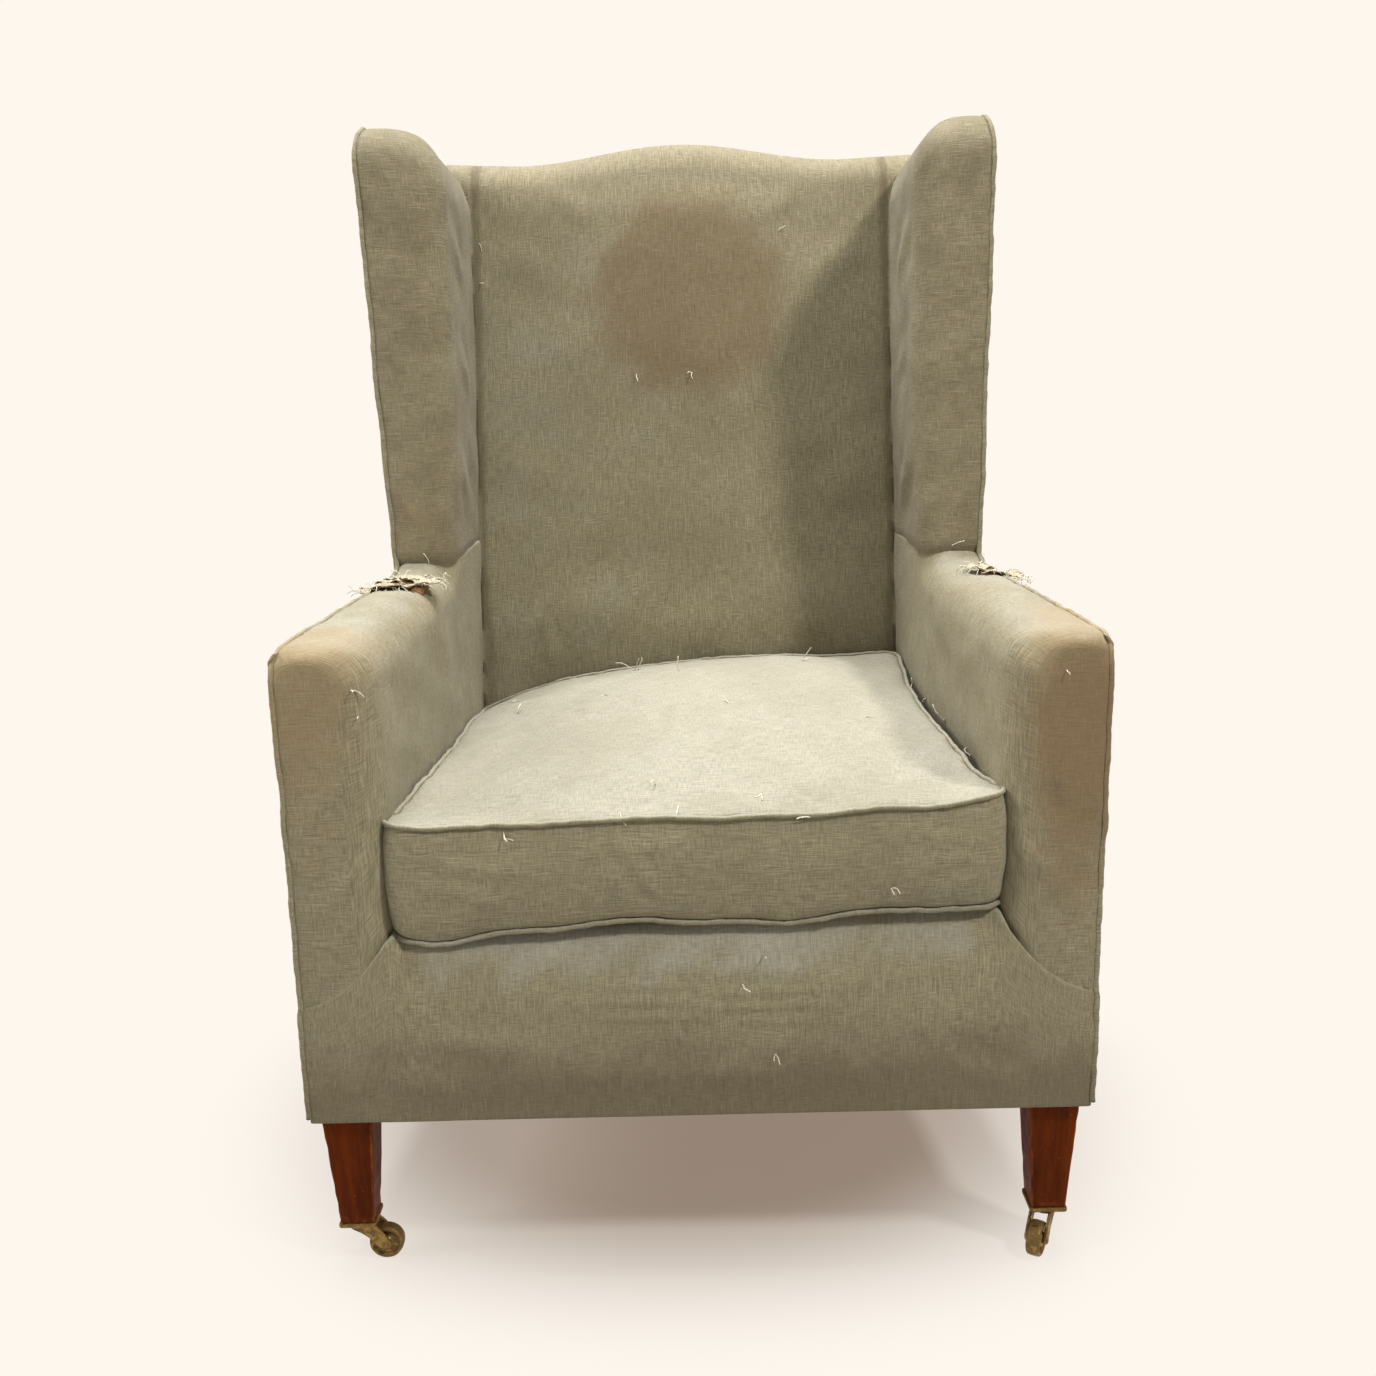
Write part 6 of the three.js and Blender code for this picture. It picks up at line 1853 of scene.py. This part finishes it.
class ARMCHAIR_OT_border(bpy.types.Operator):
    """Builds the front border"""
    bl_idname = "armchair.border"
    bl_label = "Border"

    def execute(self, context):
        build_border()
        return {"FINISHED"}


class ARMCHAIR_OT_back(bpy.types.Operator):
    """Builds the inside back"""
    bl_idname = "armchair.back"
    bl_label = "Inside back"

    def execute(self, context):
        build_inside_back()
        return {"FINISHED"}


class ARMCHAIR_OT_cushion(bpy.types.Operator):
    """Builds the loose seat cushion and its piping"""
    bl_idname = "armchair.cushion"
    bl_label = "Cushion"

    def execute(self, context):
        build_cushion()
        return {"FINISHED"}


class ARMCHAIR_OT_piping(bpy.types.Operator):
    """Lays the piping on the arms and wings"""
    bl_idname = "armchair.piping"
    bl_label = "Side piping"

    def execute(self, context):
        for hand, side in SIDES:
            surfaces = [surface_tree(piece(name)) for name in (hand + "_arm", hand + "_wing", "border")]
            build_side_piping(hand, side, surfaces)
        return {"FINISHED"}


class ARMCHAIR_OT_tears(bpy.types.Operator):
    """Builds the tears on the arms and the loose threads"""
    bl_idname = "armchair.tears"
    bl_label = "Tears and threads"

    def execute(self, context):
        names = ("cushion", "inside_back", "border", "left_arm", "right_arm", "left_wing", "right_wing")
        trees = {name: surface_tree(piece(name)) for name in names}
        for hand, side in SIDES:
            build_tear(hand, side, trees[hand + "_arm"])
        build_threads(list(trees.values()))
        return {"FINISHED"}


class ARMCHAIR_OT_wood(bpy.types.Operator):
    """Builds the legs and finishes the frame that stays as it is"""
    bl_idname = "armchair.wood"
    bl_label = "Legs and frame"

    def execute(self, context):
        finish_frame()
        for hand, _ in SIDES:
            build_front_leg(hand)
            build_back_leg(hand)
        build_dust_cover()
        build_tacks()
        return {"FINISHED"}


class ARMCHAIR_OT_castors(bpy.types.Operator):
    """Builds both castors"""
    bl_idname = "armchair.castors"
    bl_label = "Castors"

    def execute(self, context):
        for hand, side in SIDES:
            build_castor(hand, side, 0.0 if side < 0 else math.radians(240))
        return {"FINISHED"}


class ARMCHAIR_OT_stage(bpy.types.Operator):
    """Builds the floor, lights and camera"""
    bl_idname = "armchair.stage"
    bl_label = "Stage"

    def execute(self, context):
        build_stage()
        return {"FINISHED"}


OPERATORS = (ARMCHAIR_OT_wood, ARMCHAIR_OT_castors, ARMCHAIR_OT_back, ARMCHAIR_OT_wings, ARMCHAIR_OT_arms,
             ARMCHAIR_OT_outside, ARMCHAIR_OT_border, ARMCHAIR_OT_cushion, ARMCHAIR_OT_piping,
             ARMCHAIR_OT_tears, ARMCHAIR_OT_stage)


class ARMCHAIR_PT_panel(bpy.types.Panel):
    """Lists the armchair's builders and settings"""
    bl_label = "Armchair"
    bl_idname = "ARMCHAIR_PT_panel"
    bl_space_type = "VIEW_3D"
    bl_region_type = "UI"
    bl_category = "Armchair"

    def draw(self, context):
        for operator in OPERATORS:
            self.layout.operator(operator.bl_idname)
        for settings in (context.scene.armchair_sizes, context.scene.armchair_colours):
            for name in settings.bl_rna.properties.keys():
                if name not in ("rna_type", "name"):
                    self.layout.prop(settings, name)


CLASSES = (ArmchairSizes, ArmchairColours, *OPERATORS, ARMCHAIR_PT_panel)


def register():
    for cls in CLASSES:
        bpy.utils.register_class(cls)
    bpy.types.Scene.armchair_sizes = bpy.props.PointerProperty(type=ArmchairSizes)
    bpy.types.Scene.armchair_colours = bpy.props.PointerProperty(type=ArmchairColours)


def unregister():
    del bpy.types.Scene.armchair_colours
    del bpy.types.Scene.armchair_sizes
    for cls in reversed(CLASSES):
        bpy.utils.unregister_class(cls)


def main():
    register()
    for operator in (bpy.ops.armchair.wood, bpy.ops.armchair.castors, bpy.ops.armchair.back,
                     bpy.ops.armchair.wings, bpy.ops.armchair.arms, bpy.ops.armchair.outside,
                     bpy.ops.armchair.border, bpy.ops.armchair.cushion, bpy.ops.armchair.piping,
                     bpy.ops.armchair.tears, bpy.ops.armchair.stage):
        if operator() != {"FINISHED"}:
            raise RuntimeError("a piece wasn't built")


if __name__ == "__main__":
    main()
